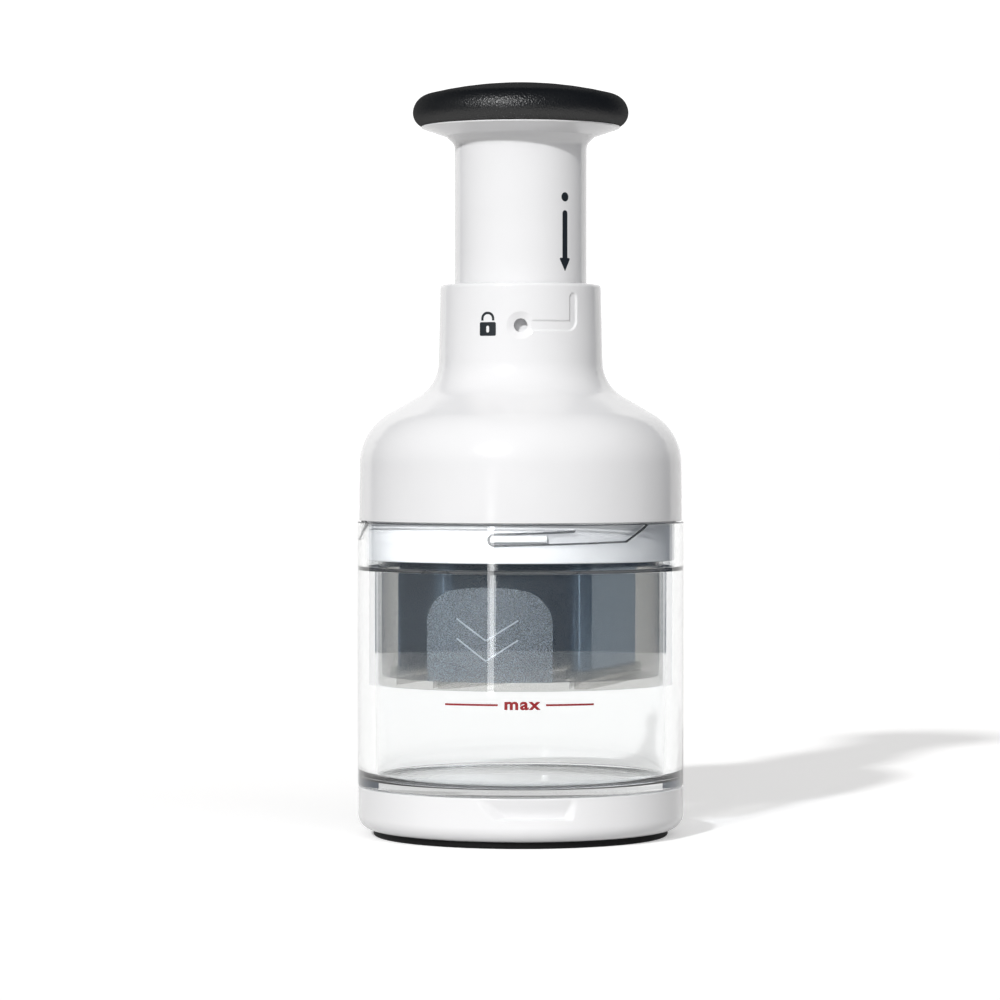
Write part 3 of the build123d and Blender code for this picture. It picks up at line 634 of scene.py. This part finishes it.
class ChopperColours(bpy.types.PropertyGroup):
    """Colours of the finishes."""

    body: bpy.props.FloatVectorProperty(
        name="Body", description="White of housing, tube and base", subtype="COLOR", default=linear("#E8E8E9")
    )
    grip: bpy.props.FloatVectorProperty(
        name="Grip", description="Black of the knob's soft pad", subtype="COLOR", default=linear("#0E0E0E")
    )
    foot: bpy.props.FloatVectorProperty(
        name="Foot", description="Black of the foot ring", subtype="COLOR", default=linear("#0B0B0B")
    )
    cup: bpy.props.FloatVectorProperty(
        name="Cup", description="Tint of the clear cup", subtype="COLOR", default=linear("#F9FAFA")
    )
    shroud: bpy.props.FloatVectorProperty(
        name="Shroud", description="Tint of the smoke-grey shroud", subtype="COLOR", default=linear("#F1F0EE")
    )
    haze: bpy.props.FloatVectorProperty(
        name="Haze", description="Light scattered in the shroud", subtype="COLOR", default=linear("#B4BEC8")
    )
    # Paler colour of the chevrons: painted highlight for the light that catches their edges.
    painted_highlight_ridge: bpy.props.FloatVectorProperty(
        name="Ridges", description="Light scattered in the chevrons", subtype="COLOR", default=linear("#E2E8EE")
    )
    blade: bpy.props.FloatVectorProperty(
        name="Blade", description="Steel of the blade", subtype="COLOR", default=linear("#8AA0B6")
    )
    edge: bpy.props.FloatVectorProperty(
        name="Cutting edge", description="Steel of the ground edge", subtype="COLOR", default=linear("#D0D4D6")
    )
    holder: bpy.props.FloatVectorProperty(
        name="Holder", description="Plastic that holds the blade", subtype="COLOR", default=linear("#98A0A8")
    )
    marks: bpy.props.FloatVectorProperty(
        name="Marks", description="Ink of dot, arrow and padlock", subtype="COLOR", default=linear("#1D2227")
    )
    fill_mark: bpy.props.FloatVectorProperty(
        name="Fill mark", description="Ink of the cup's fill line", subtype="COLOR", default=linear("#8C0A13")
    )
    floor: bpy.props.FloatVectorProperty(
        name="Floor", description="Colour of the floor", subtype="COLOR", default=linear("#F4F4F4")
    )


def sizes():
    """The scene's sizes."""
    return bpy.context.scene.chopper_sizes


def colours():
    """The scene's colours."""
    return bpy.context.scene.chopper_colours


# --------------------------------------------------------------------------- operators
class CHOPPER_OT_base(bpy.types.Operator):
    """Pull-off base cap with its finger scoop, and the foot ring"""

    bl_idname = "chopper.base"
    bl_label = "Base cap and foot"

    def execute(self, context):
        corners = (
            (0, 7.6),
            (45.3, 7.6, 0.6),
            (45.3, CAP_TOP, 0.3),
            (48.1, CAP_TOP, 0.35),
            (48.1, 8.0),
            (48.1, 2.0, 4.45),
            (43.65, 2.0),
            (43.65, 3.3),
            (38.15, 3.3),
            (38.15, 2.0),
            (36.5, 2.0, 0.4),
            (36.5, 5.4, 0.6),
            (0, 5.4),
        )
        bm = drawn(corners, closed=False)
        upright = [edge for edge in bm.edges if all(v.co.x > 48.05 and v.co.z > 7.9 for v in edge.verts)]
        bmesh.ops.subdivide_edges(bm, edges=upright, cuts=34)
        face_front(bm, -22)
        turn(bm, ((48, 160), (312, 208)))
        for vert in bm.verts:
            self.press_scoop(vert)
        outwards(bm)
        place_piece(bm, "base_cap_shell", "base", gloss_abs(), ("base_cap",))

        foot = turned(
            (
                (40.9, 0),
                (43.6, 0, 0.7),
                (43.6, 3.3, 0.2),
                (38.2, 3.3, 0.2),
                (38.2, 0, 0.7),
                (39.4, 0),
                (39.7, 0.35, 0.1),
                (40.0, 0),
            )
        )
        place_piece(foot, "foot_ring_rubber", "base", foot_rubber(), ("foot_ring",))
        return {"FINISHED"}

    @staticmethod
    def press_scoop(vert):
        """Moves a point of the front face in, for the scoop where a finger pulls the cap off."""
        radius = vert.co.xy.length
        if radius < 47 or vert.co.z < 7.9 or vert.co.y > 0:
            return
        along, down = vert.co.x, CAP_TOP - vert.co.z
        left = ramp(along, -14.5 + 1.1 * down, -10.0 + 1.1 * down)
        right = ramp(-along, -16.6 + 0.2 * down, -14.2 + 0.2 * down)
        floor = ramp(vert.co.z, 8.4, 9.0)
        depth = 2.0 * ramp(down, -1.0, 6.5) * floor * left * right
        vert.co.xy *= (radius - depth) / radius


class CHOPPER_OT_cup(bpy.types.Operator):
    """Clear cup with its bayonet tracks, and the printed fill line"""

    bl_idname = "chopper.cup"
    bl_label = "Cup"

    def execute(self, context):
        bm = turned(
            (
                (0, 14.3),
                (42.4, 14.3, 0.5),
                (42.4, 7.9, 0.3),
                (45.0, 7.9, 0.3),
                (45.0, 15.1, 0.3),
                (CUP_R, 15.1, 0.35),
                (CUP_R, RIM_Z, 0.4),
                (COLLAR_R, RIM_Z, 0.3),
                (COLLAR_R, STEP_Z, 0.7),
                (43.2, STEP_Z, 0.7),
                (42.7, 16.8, 3.0),
                (0, 16.8),
            ),
            closed=False,
        )
        bm = combine(bm, copies_around(self.track))
        track_edges = [
            edge
            for edge in bm.edges
            if edge.is_manifold
            and edge.calc_face_angle() > 1.0
            and all(COLLAR_R - 0.05 < v.co.xy.length < TRACK_R + 0.02 for v in edge.verts)
            and all(STEP_Z + 2 < v.co.z < RIM_Z - 0.5 for v in edge.verts)
        ]
        bmesh.ops.bevel(bm, geom=track_edges, offset=0.28, affect="EDGES", segments=2, profile=0.5, material=-1)
        piece = place_piece(bm, "cup_clear", "cup", clear_san(), ("cup",))
        # The rounded edges of the tracks, the step and the rim take the second, dark-tinted finish: painted shade
        # for the dark lines that refraction draws there.
        piece.data.materials.append(painted_shade_edge())
        for face in piece.data.polygons:
            centre = face.center / MM
            out = abs(centre.xy.normalized().dot(face.normal.xy))
            beside_track = COLLAR_R - 0.08 < centre.xy.length < TRACK_R - 0.03 and out < 0.95
            in_track = beside_track and STEP_Z + 2 < centre.z < RIM_Z - 0.4
            at_step = min(abs(centre.z - STEP_Z), abs(centre.z - RIM_Z)) < 0.75 and 0.1 < out < 0.98
            if in_track or at_step:
                face.material_index = 1
        self.fill_mark()
        return {"FINISHED"}

    @staticmethod
    def track():
        """Tool for one track: closed at its left end, open to the rim at its right."""
        outline = (
            (12.0, STEP_Z + 11.5),
            (-9.0, STEP_Z + 10.9, 1.5),
            (-9.0, STEP_Z + 7.6, 1.5),
            (29.9, STEP_Z + 8.6, 1.0),
            (38.1, 94.0),
            (15.4, 94.0),
            (15.4, STEP_Z + 11.7, 0.5),
        )
        ring = turned(((44.9, 84.0), (TRACK_R, 84.0), (TRACK_R, 95.0), (44.9, 95.0)))
        return combine(prism(outline, (0, -60, 0)), ring, "INTERSECT")

    @staticmethod
    def fill_mark():
        """Prints the fill line on the cup's front, broken by its word."""
        ink = sizes().ink / MM
        middle, half = 41.5, 0.28
        word_wide, word_middle = 10.4, 0.3
        drawings = {}
        for name, start, end in (("fill_line_left", -26.6, -7.7), ("fill_line_right", 8.6, 25.7)):
            start, end = math.radians(start) * CUP_R, math.radians(end) * CUP_R
            low, high = middle - half, middle + half
            drawings[name] = flat_shape(((start, low), (end, low), (end, high), (start, high)))
        word = bpy.data.curves.new("fill_word", "FONT")
        word.body = "max"
        word.size = 4.5
        word.offset = 0.16
        word.align_x = "CENTER"
        word.space_character = 1.15
        text = bpy.data.objects.new("fill_word", word)
        bpy.context.collection.objects.link(text)
        mesh = bpy.data.meshes.new_from_object(text.evaluated_get(bpy.context.evaluated_depsgraph_get()))
        bm = bmesh.new()
        bm.from_mesh(mesh)
        bpy.data.meshes.remove(mesh)
        bpy.data.objects.remove(text)
        bpy.data.curves.remove(word)
        rotate(bm, 90, "X")
        wide = max(v.co.x for v in bm.verts) - min(v.co.x for v in bm.verts)
        bmesh.ops.scale(bm, vec=(word_wide / wide, 1, 1), verts=bm.verts[:])
        bmesh.ops.translate(bm, vec=(word_middle, 0, middle - 1.2), verts=bm.verts[:])
        bmesh.ops.remove_doubles(bm, verts=bm.verts[:], dist=0.001)
        drawings["fill_word"] = bm
        for name, drawing in drawings.items():
            place_piece(wrap(printed(drawing, ink), lambda z: CUP_R + ink), name, "cup", red_ink())


class CHOPPER_OT_housing(bpy.types.Operator):
    """Housing shell with its lock groove, indicator hole and printed padlock"""

    bl_idname = "chopper.housing"
    bl_label = "Housing"

    def execute(self, context):
        corners = (
            (45.6, 93.1),
            (47.7, 93.1, 0.3),
            (47.4, 119.8, 17.0),
            (*NECK_LOW, 12.0),
            (neck_radius(145.0), 145.0),
            (neck_radius(161.4), 161.4),
            (*NECK_RIM, 1.1),
            (21.43, NECK_RIM[1], 0.4),
            (21.43, 132.37, 14.1),
            (45.3, 118.59, 14.9),
        )
        bm = drawn(corners)
        grooved = [edge for edge in bm.edges if all(v.co.x > 23 and 144.9 < v.co.z < 161.5 for v in edge.verts)]
        bmesh.ops.subdivide_edges(bm, edges=grooved, cuts=109)
        face_front(bm, -13)
        turn(bm, ((62, 190), (298, 210)))
        depth = sizes().groove_depth / MM
        for vert in bm.verts:
            self.press_groove(vert, depth)
        bm = combine(bm, self.hole_tool())
        for from_front in (60, 180, 300):
            boss = bmesh.new()
            bmesh.ops.create_cone(boss, cap_ends=True, segments=48, radius1=3.6, radius2=3.6, depth=18.0)
            place = heading(from_front, length=40.5) + Vector((0, 0, 107.6))
            bmesh.ops.translate(boss, vec=place, verts=boss.verts[:])
            join(bm, boss)
        place_piece(bm, "housing_shell_gloss", "housing", gloss_abs(), ("housing_shell",))
        self.padlock()
        return {"FINISHED"}

    @staticmethod
    def hole_tool():
        """Tool for the indicator hole."""
        bm = bmesh.new()
        bmesh.ops.create_cone(bm, cap_ends=True, segments=72, radius1=2.0, radius2=2.0, depth=16)
        rotate(bm, 90, "X")
        bmesh.ops.translate(bm, vec=(0, -20, HOLE_Z), verts=bm.verts[:])
        return outwards(bm)

    @staticmethod
    def press_groove(vert, depth):
        """Moves a point of the neck's face in, for the L-shaped groove and the dimple round the hole."""
        radius = vert.co.xy.length
        if radius < 23.2 or vert.co.y > 0 or not 144 < vert.co.z < 161.5:
            return
        along = math.atan2(vert.co.x, -vert.co.y) * radius
        up = vert.co.z - HOLE_Z
        lying_half, standing_half = 1.4, 1.25           # half widths of the groove's two legs
        leg, leg_top = 16.7, 8.15                       # the standing leg, and where its round end starts
        bend_along, bend_up, bend_r = 14.95, 1.6, 3.0   # the round outer corner between them
        dimple_r = 4.1
        lying = max(abs(up) - lying_half, along - 17.9, -along)
        standing = max(abs(along - leg) - standing_half, -lying_half - up)
        if up > leg_top:
            standing = math.hypot(along - leg, up - leg_top) - standing_half
        groove = min(lying, standing)
        if along > bend_along and up < bend_up:
            groove = max(groove, math.hypot(along - bend_along, bend_up - up) - bend_r)
        pressed = depth * ramp(-groove, -0.35, 0.35)
        away = math.hypot(along, up)
        dimple = max(0.0, dimple_r - away) * 0.5 * ramp(dimple_r + 0.4 - away, 0, 0.8)
        vert.co.xy *= (radius - max(pressed, dimple)) / radius

    @staticmethod
    def padlock():
        """Prints an open padlock on the neck, left of the hole."""
        ink = sizes().ink / MM
        case = (
            (-9.85, 147.15),
            (-7.3, 147.15, 0.45),
            (-7.3, 151.15, 0.45),
            (-12.4, 151.15, 0.45),
            (-12.4, 147.15, 0.45),
        )
        keyhole = (
            (-9.85, 148.1),
            (-9.4, 148.1, 0.42),
            (-9.4, 150.1, 0.42),
            (-10.3, 150.1, 0.42),
            (-10.3, 148.1, 0.42),
        )
        bow = flat_line(((-11.55, 151.6), (-11.55, 153.8, 1.6), (-8.15, 153.8, 1.6), (-8.15, 151.6)), 0.72)
        for name, drawing in (("padlock_case", flat_shape(case, keyhole)), ("padlock_bow", bow)):
            bm = wrap(printed(drawing, ink), lambda z: neck_radius(z) + ink)
            place_piece(bm, name, "housing", slate_ink())


class CHOPPER_OT_bayonet(bpy.types.Operator):
    """Bayonet ring, chassis and the other parts that close the housing"""

    bl_idname = "chopper.bayonet"
    bl_label = "Bayonet ring"

    def execute(self, context):
        bm = turned(
            (
                (44.6, 81.6),
                (45.5, 81.6, 0.4),
                (45.5, 95.9, 0.3),
                (36.0, 95.9, 0.4),
                (36.0, 93.3, 0.4),
                (43.7, 93.3, 0.6),
                (43.7, 86.8, 0.3),
                (42.7, 86.8, 0.3),
                (42.7, 84.5, 0.3),
                (43.7, 84.5, 0.3),
                (43.7, 81.6, 0.3),
            )
        )
        lug = ((45.2, 87.7), (46.9, 87.7, 0.35), (46.9, 89.7, 0.35), (45.2, 89.7))
        join(bm, *(turned_sector(lug, middle - 10.6, middle + 9.1) for middle in (0, 120, 240)))
        satin = satin_abs()
        place_piece(bm, "bayonet_ring_satin", "housing", satin, ("bayonet_ring",))
        for node in ("chassis", "neck_guide", "knob_core", "spring_seat"):
            dress(node, satin)
        dress("chassis_screws", screw_steel())
        return {"FINISHED"}


class CHOPPER_OT_plunger(bpy.types.Operator):
    """Plunger tube with its flange and printed marks, and the soft grip pad"""

    bl_idname = "chopper.plunger"
    bl_label = "Plunger and grip"

    def execute(self, context):
        bm = turned(
            (
                (18.4, 137.0),
                (TUBE_R, 137.0, 0.4),
                (TUBE_R, 204.2, 3.0),
                (22.0, 206.5, 1.2),
                (29.3, 209.0, 0.25),
                (29.3, 209.4),
                (17.3, 209.4, 0.3),
                (17.3, 199.0, 0.6),
                (5.25, 199.0),
                (5.25, 196.0),
                (17.3, 196.0, 0.6),
                (17.3, 137.0, 0.4),
            )
        )
        lug = ((18.4, 137.0), (21.2, 137.0, 0.3), (21.2, 140.0, 0.3), (18.4, 140.0))
        join(bm, *(turned_sector(lug, start, start + 20) for start in (20, 140, 260)))
        place_piece(bm, "plunger_tube_gloss", "knob", gloss_abs(), ("plunger_tube",))
        self.marks()
        self.grip()
        return {"FINISHED"}

    @staticmethod
    def marks():
        """Prints the dot and the arrow that points down on the tube."""
        ink = sizes().ink / MM
        from_front = 41.6
        dot = bmesh.new()
        bmesh.ops.create_circle(dot, cap_ends=True, segments=48, radius=1.35)
        rotate(dot, 90, "X")
        bmesh.ops.translate(dot, vec=(0, 0, 187.9), verts=dot.verts[:])
        arrow = flat_shape(
            (
                (0, 166.2),
                (2.15, 170.1, 0.3),
                (0.95, 170.1),
                (0.95, 184.0, 0.9),
                (-0.95, 184.0, 0.9),
                (-0.95, 170.1),
                (-2.15, 170.1, 0.3),
            )
        )
        for name, drawing in (("tube_dot", dot), ("tube_arrow", arrow)):
            bm = wrap(printed(drawing, ink), lambda z: TUBE_R + ink, from_front)
            place_piece(bm, name, "knob", slate_ink())

    @staticmethod
    def grip():
        """The soft pad: a low dome that rolls over into a full rounded edge."""
        bm = bmesh.new()
        last, along = bm.verts.new((0, 0, 222.2)), Vector((1, 0, 0))
        for x, z in ((27.61, 218.8), (31.85, 213.7), (29.75, 209.7), (29.3, 209.5)):
            last, along = bend_to(bm, last, along, Vector((x, 0, z)))
        for x, z in ((28.3, 209.5), (28.3, 216.6), (0, 216.6)):
            last = line_to(bm, last, Vector((x, 0, z)))
        dome = [edge for edge in bm.edges if edge.calc_length() > 1.5 and min(v.co.z for v in edge.verts) > 217]
        bmesh.ops.subdivide_edges(bm, edges=dome, cuts=2, smooth=0.0)
        turn(bm)
        place_piece(bm, "grip_pad_soft", "knob", grip_elastomer(), ("grip_pad",))


def blade_path():
    """Corners of the zigzag blade's middle line, with the radius of each bend."""
    end = heading(-71.8, length=36.75)
    wide = heading(-33.6, length=46.8)
    tight = heading(9.2, length=59.05)
    bend = 2.7
    return ((end, 0), (-tight, bend), (wide, bend), (-wide, bend), (tight, bend), (-end, 0))


def blade_wall(widen, thick, heights):
    """An upright wall along the blade's line, lengthened and thickened, through the given heights."""
    corners = [list(corner) for corner in blade_path()]
    for end, inner in ((0, 1), (-1, -2)):
        corners[end][0] = corners[end][0] + (corners[end][0] - corners[inner][0]).normalized() * widen
    bm = bmesh.new()
    draw(bm, corners)
    bmesh.ops.translate(bm, vec=(0, 0, heights[0]), verts=bm.verts[:])
    edges = bm.edges[:]
    for low, high in zip(heights, heights[1:]):
        raised = bmesh.ops.extrude_edge_only(bm, edges=edges)["geom"]
        edges = of_kind(raised, bmesh.types.BMEdge)
        shift(bm, raised, (0, 0, high - low))
    return through_modifier(bm, "SOLIDIFY", thickness=thick, offset=0.0, use_even_offset=True)


class CHOPPER_OT_shroud(bpy.types.Operator):
    """Smoke-grey shroud that turns with the blade, its frosted thumb pad and its hanger ring"""

    bl_idname = "chopper.shroud"
    bl_label = "Shroud"

    def execute(self, context):
        smoke = smoke_plastic()
        bm = turned(
            (
                (0, SHROUD_Z),
                (42.2, SHROUD_Z, 0.8),
                (42.2, 86.8, 0.4),
                (41.0, 86.8, 0.4),
                (41.0, 47.5, 0.9),
                (0, 47.5),
            ),
            closed=False,
        )
        gap, wall = 0.35, 1.2
        bm = combine(bm, blade_wall(gap + wall, BLADE_THICK + 2 * (gap + wall), (45.4, 50.5)), "UNION")
        bm = combine(bm, blade_wall(gap, BLADE_THICK + 2 * gap, (44.0, 52.0)))
        place_piece(bm, "shroud_smoke", "shroud", smoke, ("shroud",))
        self.thumb_pad()

        ring = turned(
            (
                (40.4, 80.0),
                (40.9, 80.0, 0.3),
                (40.9, 87.1, 0.3),
                (43.4, 87.1, 0.3),
                (43.4, 89.1, 0.3),
                (39.9, 89.1, 0.3),
                (39.9, 80.0, 0.3),
            )
        )
        place_piece(ring, "shroud_ring_smoke", "shroud_hanger", smoke, ("shroud_ring",))
        return {"FINISHED"}

    @staticmethod
    def thumb_pad():
        """Frosted pad with two raised chevrons that point down, for the thumb that pulls the shroud off."""
        arch = (
            (0, 47.6),
            (18.2, 47.6, 0.6),
            (18.2, 72.9, 10.0),
            (0, 75.2, 60.0),
            (-18.2, 72.9, 10.0),
            (-18.2, 47.6, 0.6),
        )
        pad = wrap(printed(flat_shape(arch), 0.22), lambda z: 42.5, PAD_SIDE)
        place_piece(pad, "thumb_pad_frosted", "shroud", frosted_plastic())
        # The chevrons take a paler plastic than the pad: painted highlight on their edges.
        painted_highlight_ridge = painted_highlight_ridge_plastic()
        for name, top, foot in (("chevron_upper", 65.8, 59.6), ("chevron_lower", 60.2, 53.8)):
            line = flat_line(((-8.7, top), (-0.3, foot, 0.3), (8.7, top - 0.4)), 0.42)
            line = wrap(printed(line, 0.12), lambda z: 42.64, PAD_SIDE)
            place_piece(line, name, "shroud", painted_highlight_ridge)


class CHOPPER_OT_blade(bpy.types.Operator):
    """Zigzag blade with its ground edge, and the parts that hold it"""

    bl_idname = "chopper.blade"
    bl_label = "Blade"

    def execute(self, context):
        low, high = BLADE_Z
        ground = low + sizes().ground_height / MM
        bm = blade_wall(0.0, BLADE_THICK, (low, ground, high))
        # The ground part narrows from the strip's thickness to a keen line
        keen = blade_wall(0.0, 0.08, (low, high))
        edge_places = [vert.co.copy() for vert in keen.verts if vert.co.z < low + 0.01]
        keen.free()
        for vert in bm.verts:
            if vert.co.z < low + 0.01:
                vert.co = min(edge_places, key=lambda place: (place - vert.co).length_squared)
        crisp = math.radians(8.5)
        piece = place_piece(bm, "blade_strip", "blades", blade_steel(), ("blade",), crisp)
        piece.data.materials.append(ground_steel())
        for face in piece.data.polygons:
            if face.center.z < ground * MM:
                face.material_index = 1
        holder = holder_plastic()
        for node in ("blade_carrier", "blade_clamp"):
            softened(node, "blades", holder)
        screw = screw_steel()
        for node in ("clamp_screws", "spindle_screws"):
            softened(node, "blades", screw)
        return {"FINISHED"}


class CHOPPER_OT_drive(bpy.types.Operator):
    """Springs, drive sleeve, spindle and the index parts inside the housing"""

    bl_idname = "chopper.drive"
    bl_label = "Drive"

    def execute(self, context):
        wire = spring_steel()
        spring = self.spring(
            "return_spring", "housing", wire, coil_r=12.5, wire_d=1.6, low=98.4, high=191.4, coils=14
        )
        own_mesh(spring)
        spring = self.spring(
            "index_spring", "slider", wire, coil_r=3.3, wire_d=0.9, low=151.6, high=175.0, coils=9
        )
        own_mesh(spring)
        for node in ("drive_sleeve", "thrust_washer"):
            dress(node, acetal())
        for node in ("spindle", "index_pin"):
            dress(node, shaft_steel())
        dress("shoulder_screw", screw_steel())
        return {"FINISHED"}

    @staticmethod
    def spring(node, body, material, coil_r, wire_d, low, high, coils):
        """A helical spring between two faces, with closed wire ends."""
        bm = bmesh.new()
        bmesh.ops.create_circle(bm, cap_ends=False, segments=16, radius=wire_d / 2)
        rotate(bm, 90, "X")
        clear, facets = 0.05, 36
        bmesh.ops.translate(bm, vec=(coil_r, 0, low + wire_d / 2 + clear), verts=bm.verts[:])
        steps = facets * coils
        rise = high - low - wire_d - 2 * clear
        bmesh.ops.spin(
            bm,
            geom=bm.verts[:] + bm.edges[:],
            cent=(0, 0, 0),
            axis=(0, 0, 1),
            dvec=(0, 0, rise / steps),
            angle=math.tau * coils,
            steps=steps,
        )
        bmesh.ops.holes_fill(bm, edges=bm.edges[:], sides=0)
        return place_piece(outwards(bm), node + "_wire", body, material, (node,))


def background_ray(tree):
    """1 for rays that see the background: from the camera, or by way of metal, gloss or glass."""
    rays = add_node(tree, "ShaderNodeLightPath").outputs
    seen = rays["Is Camera Ray"]
    for ray in ("Is Glossy Ray", "Is Transmission Ray"):
        seen = add_node(tree, "ShaderNodeMath", {"operation": "MAXIMUM"}, {0: seen, 1: rays[ray]}).outputs[0]
    return seen


class CHOPPER_OT_stage(bpy.types.Operator):
    """Camera, lamps, floor and the pale surroundings"""

    bl_idname = "chopper.stage"
    bl_label = "Studio"

    def execute(self, context):
        scene = context.scene
        camera = bpy.data.objects.new("camera", bpy.data.cameras.new("camera"))
        camera.data.lens = LENS
        camera.data.sensor_width = SENSOR
        camera.location = EYE
        aim = Vector(LOOKS_AT) - camera.location
        camera.rotation_euler = aim.to_track_quat("-Z", "Y").to_euler()
        scene.collection.objects.link(camera)
        scene.camera = camera
        scene.view_settings.view_transform = "Standard"
        self.floor()
        self.dark_dome()
        self.lamps()
        self.surroundings(scene)
        return {"FINISHED"}

    @staticmethod
    def backdrop(bm, name, material):
        """An object of the studio."""
        mesh = bpy.data.meshes.new(name)
        bm.to_mesh(mesh)
        bm.free()
        mesh.materials.append(material)
        item = bpy.data.objects.new(name, mesh)
        bpy.context.collection.objects.link(item)
        return item

    def floor(self):
        """A wide pale floor that keeps the shadow and otherwise shows as white."""
        bm = bmesh.new()
        bmesh.ops.create_grid(bm, x_segments=8, y_segments=8, size=40.0)
        material, tree, place = start_material("pale_studio_floor")
        seen = background_ray(tree)
        unseen = (0.55, 0.55, 0.55, 1)
        glow_seen, glow_through_glass = 0.36, 0.11
        pale = toned(tree, colours().floor, noise(tree, place, 400), 0.01)
        inputs = {0: seen, 6: unseen, 7: pale}
        colour = add_node(tree, "ShaderNodeMix", {"data_type": "RGBA"}, inputs).outputs[2]
        matt = add_node(tree, "ShaderNodeBsdfDiffuse", inputs={"Color": colour}).outputs["BSDF"]
        inputs = {0: seen, 1: glow_seen}
        strength = add_node(tree, "ShaderNodeMath", {"operation": "MULTIPLY"}, inputs).outputs[0]
        passed = add_node(tree, "ShaderNodeLightPath").outputs["Is Transmission Ray"]
        inputs = {0: passed, 1: glow_through_glass, 2: strength}
        strength = add_node(tree, "ShaderNodeMath", {"operation": "MULTIPLY_ADD"}, inputs).outputs[0]
        glow = add_node(tree, "ShaderNodeEmission", inputs={"Color": (1, 1, 1, 1), "Strength": strength})
        both = add_node(tree, "ShaderNodeAddShader", inputs={0: matt, 1: glow.outputs[0]})
        floor = self.backdrop(bm, "floor", end_material(material, tree, both.outputs[0]))

    def dark_dome(self):
        """The dark side of the studio: a dome open to the back, which only gloss, steel and glass show."""
        bm = bmesh.new()
        bmesh.ops.create_uvsphere(bm, u_segments=96, v_segments=48, radius=0.75)
        open_part = [vert for vert in bm.verts if vert.co.y > 0.5 or vert.co.z < -0.01]
        bmesh.ops.delete(bm, geom=open_part, context="VERTS")
        material, tree, place = start_material("dark_studio_dome")
        across = add_node(tree, "ShaderNodeSeparateXYZ", inputs={0: place}).outputs["X"]
        smooth = {"interpolation_type": "SMOOTHSTEP"}
        inputs = {"Value": across, "From Min": -0.6, "From Max": -0.1, "To Min": 0.0, "To Max": 1.0}
        share = add_node(tree, "ShaderNodeMapRange", smooth, inputs).outputs["Result"]
        inputs = {0: share, 6: (*linear("#5F6873"), 1), 7: (*linear("#334458"), 1)}
        colour = add_node(tree, "ShaderNodeMix", {"data_type": "RGBA"}, inputs).outputs[2]
        glow = add_node(tree, "ShaderNodeEmission", inputs={"Color": colour, "Strength": 1.0}).outputs[0]
        dome = self.backdrop(bm, "dark_dome", end_material(material, tree, glow))
        for ray in ("camera", "diffuse", "volume_scatter", "shadow"):
            setattr(dome, "visible_" + ray, False)

    @staticmethod
    def lamp(name, kind, towards, place, **settings):
        """A lamp at a place, which shines against the direction towards it."""
        light = bpy.data.lights.new(name, kind)
        for setting, value in settings.items():
            setattr(light, setting, value)
        lamp = bpy.data.objects.new(name, light)
        lamp.rotation_euler = towards.to_track_quat("Z", "Y").to_euler()
        lamp.location = place
        bpy.context.collection.objects.link(lamp)
        return lamp

    def lamps(self):
        """A key and a soft fill, and a low strip that draws a bright line on the cup."""
        key, fill, side = heading(-22.5, 27.5), heading(20, 25), heading(-20)
        self.lamp("key", "SUN", key, key * 2, energy=2.36, angle=math.radians(3))
        self.lamp("fill", "SUN", fill, fill * 2, energy=0.79, angle=math.radians(70))
        place = side * 0.65 + Vector((0, 0, 0.0525))
        face = {"shape": "RECTANGLE", "size": 0.05, "size_y": 0.095}
        strip = self.lamp("strip", "AREA", side, place, energy=0.075, **face)
        strip.visible_camera = False
        strip.visible_diffuse = False

    @staticmethod
    def surroundings(scene):
        """Pale even light from all sides, which shows as white behind the object."""
        world = bpy.data.worlds.new("studio")
        world.use_nodes = True
        tree = world.node_tree
        tree.nodes.clear()
        seen = background_ray(tree)
        inputs = {"Value": seen, "To Min": 0.29, "To Max": 1.15}
        strength = add_node(tree, "ShaderNodeMapRange", inputs=inputs)
        inputs = {0: seen, 6: (*linear("#FFFDFC"), 1), 7: (1, 1, 1, 1)}
        colour = add_node(tree, "ShaderNodeMix", {"data_type": "RGBA"}, inputs)
        inputs = {"Color": colour.outputs[2], "Strength": strength.outputs[0]}
        glow = add_node(tree, "ShaderNodeBackground", inputs=inputs)
        add_node(tree, "ShaderNodeOutputWorld", inputs={"Surface": glow.outputs[0]})
        scene.world = world


class CHOPPER_PT_panel(bpy.types.Panel):
    """Lists the chopper's sizes, colours and pieces"""

    bl_idname = "CHOPPER_PT_panel"
    bl_label = "Food Chopper"
    bl_space_type = "VIEW_3D"
    bl_region_type = "UI"
    bl_category = "Chopper"

    def draw(self, context):
        layout = self.layout
        for title, group in (("Sizes", sizes()), ("Colours", colours())):
            box = layout.box()
            box.label(text=title)
            for name in group.__annotations__:
                box.prop(group, name)
        for operator in PIECES:
            layout.operator(operator.bl_idname)


PIECES = (
    CHOPPER_OT_stage,
    CHOPPER_OT_base,
    CHOPPER_OT_cup,
    CHOPPER_OT_housing,
    CHOPPER_OT_bayonet,
    CHOPPER_OT_plunger,
    CHOPPER_OT_shroud,
    CHOPPER_OT_blade,
    CHOPPER_OT_drive,
)
CLASSES = (ChopperSizes, ChopperColours, *PIECES, CHOPPER_PT_panel)


def register():
    """Registers the classes and the scene's properties."""
    for item in CLASSES:
        bpy.utils.register_class(item)
    bpy.types.Scene.chopper_sizes = bpy.props.PointerProperty(type=ChopperSizes)
    bpy.types.Scene.chopper_colours = bpy.props.PointerProperty(type=ChopperColours)


def unregister():
    """Takes them away again."""
    del bpy.types.Scene.chopper_colours
    del bpy.types.Scene.chopper_sizes
    for item in reversed(CLASSES):
        bpy.utils.unregister_class(item)


def main():
    """Builds every piece and the studio."""
    register()
    for operator in PIECES:
        group, name = operator.bl_idname.split(".")
        getattr(getattr(bpy.ops, group), name)()
    bpy.context.view_layer.update()


if __name__ == "__main__":
    main()
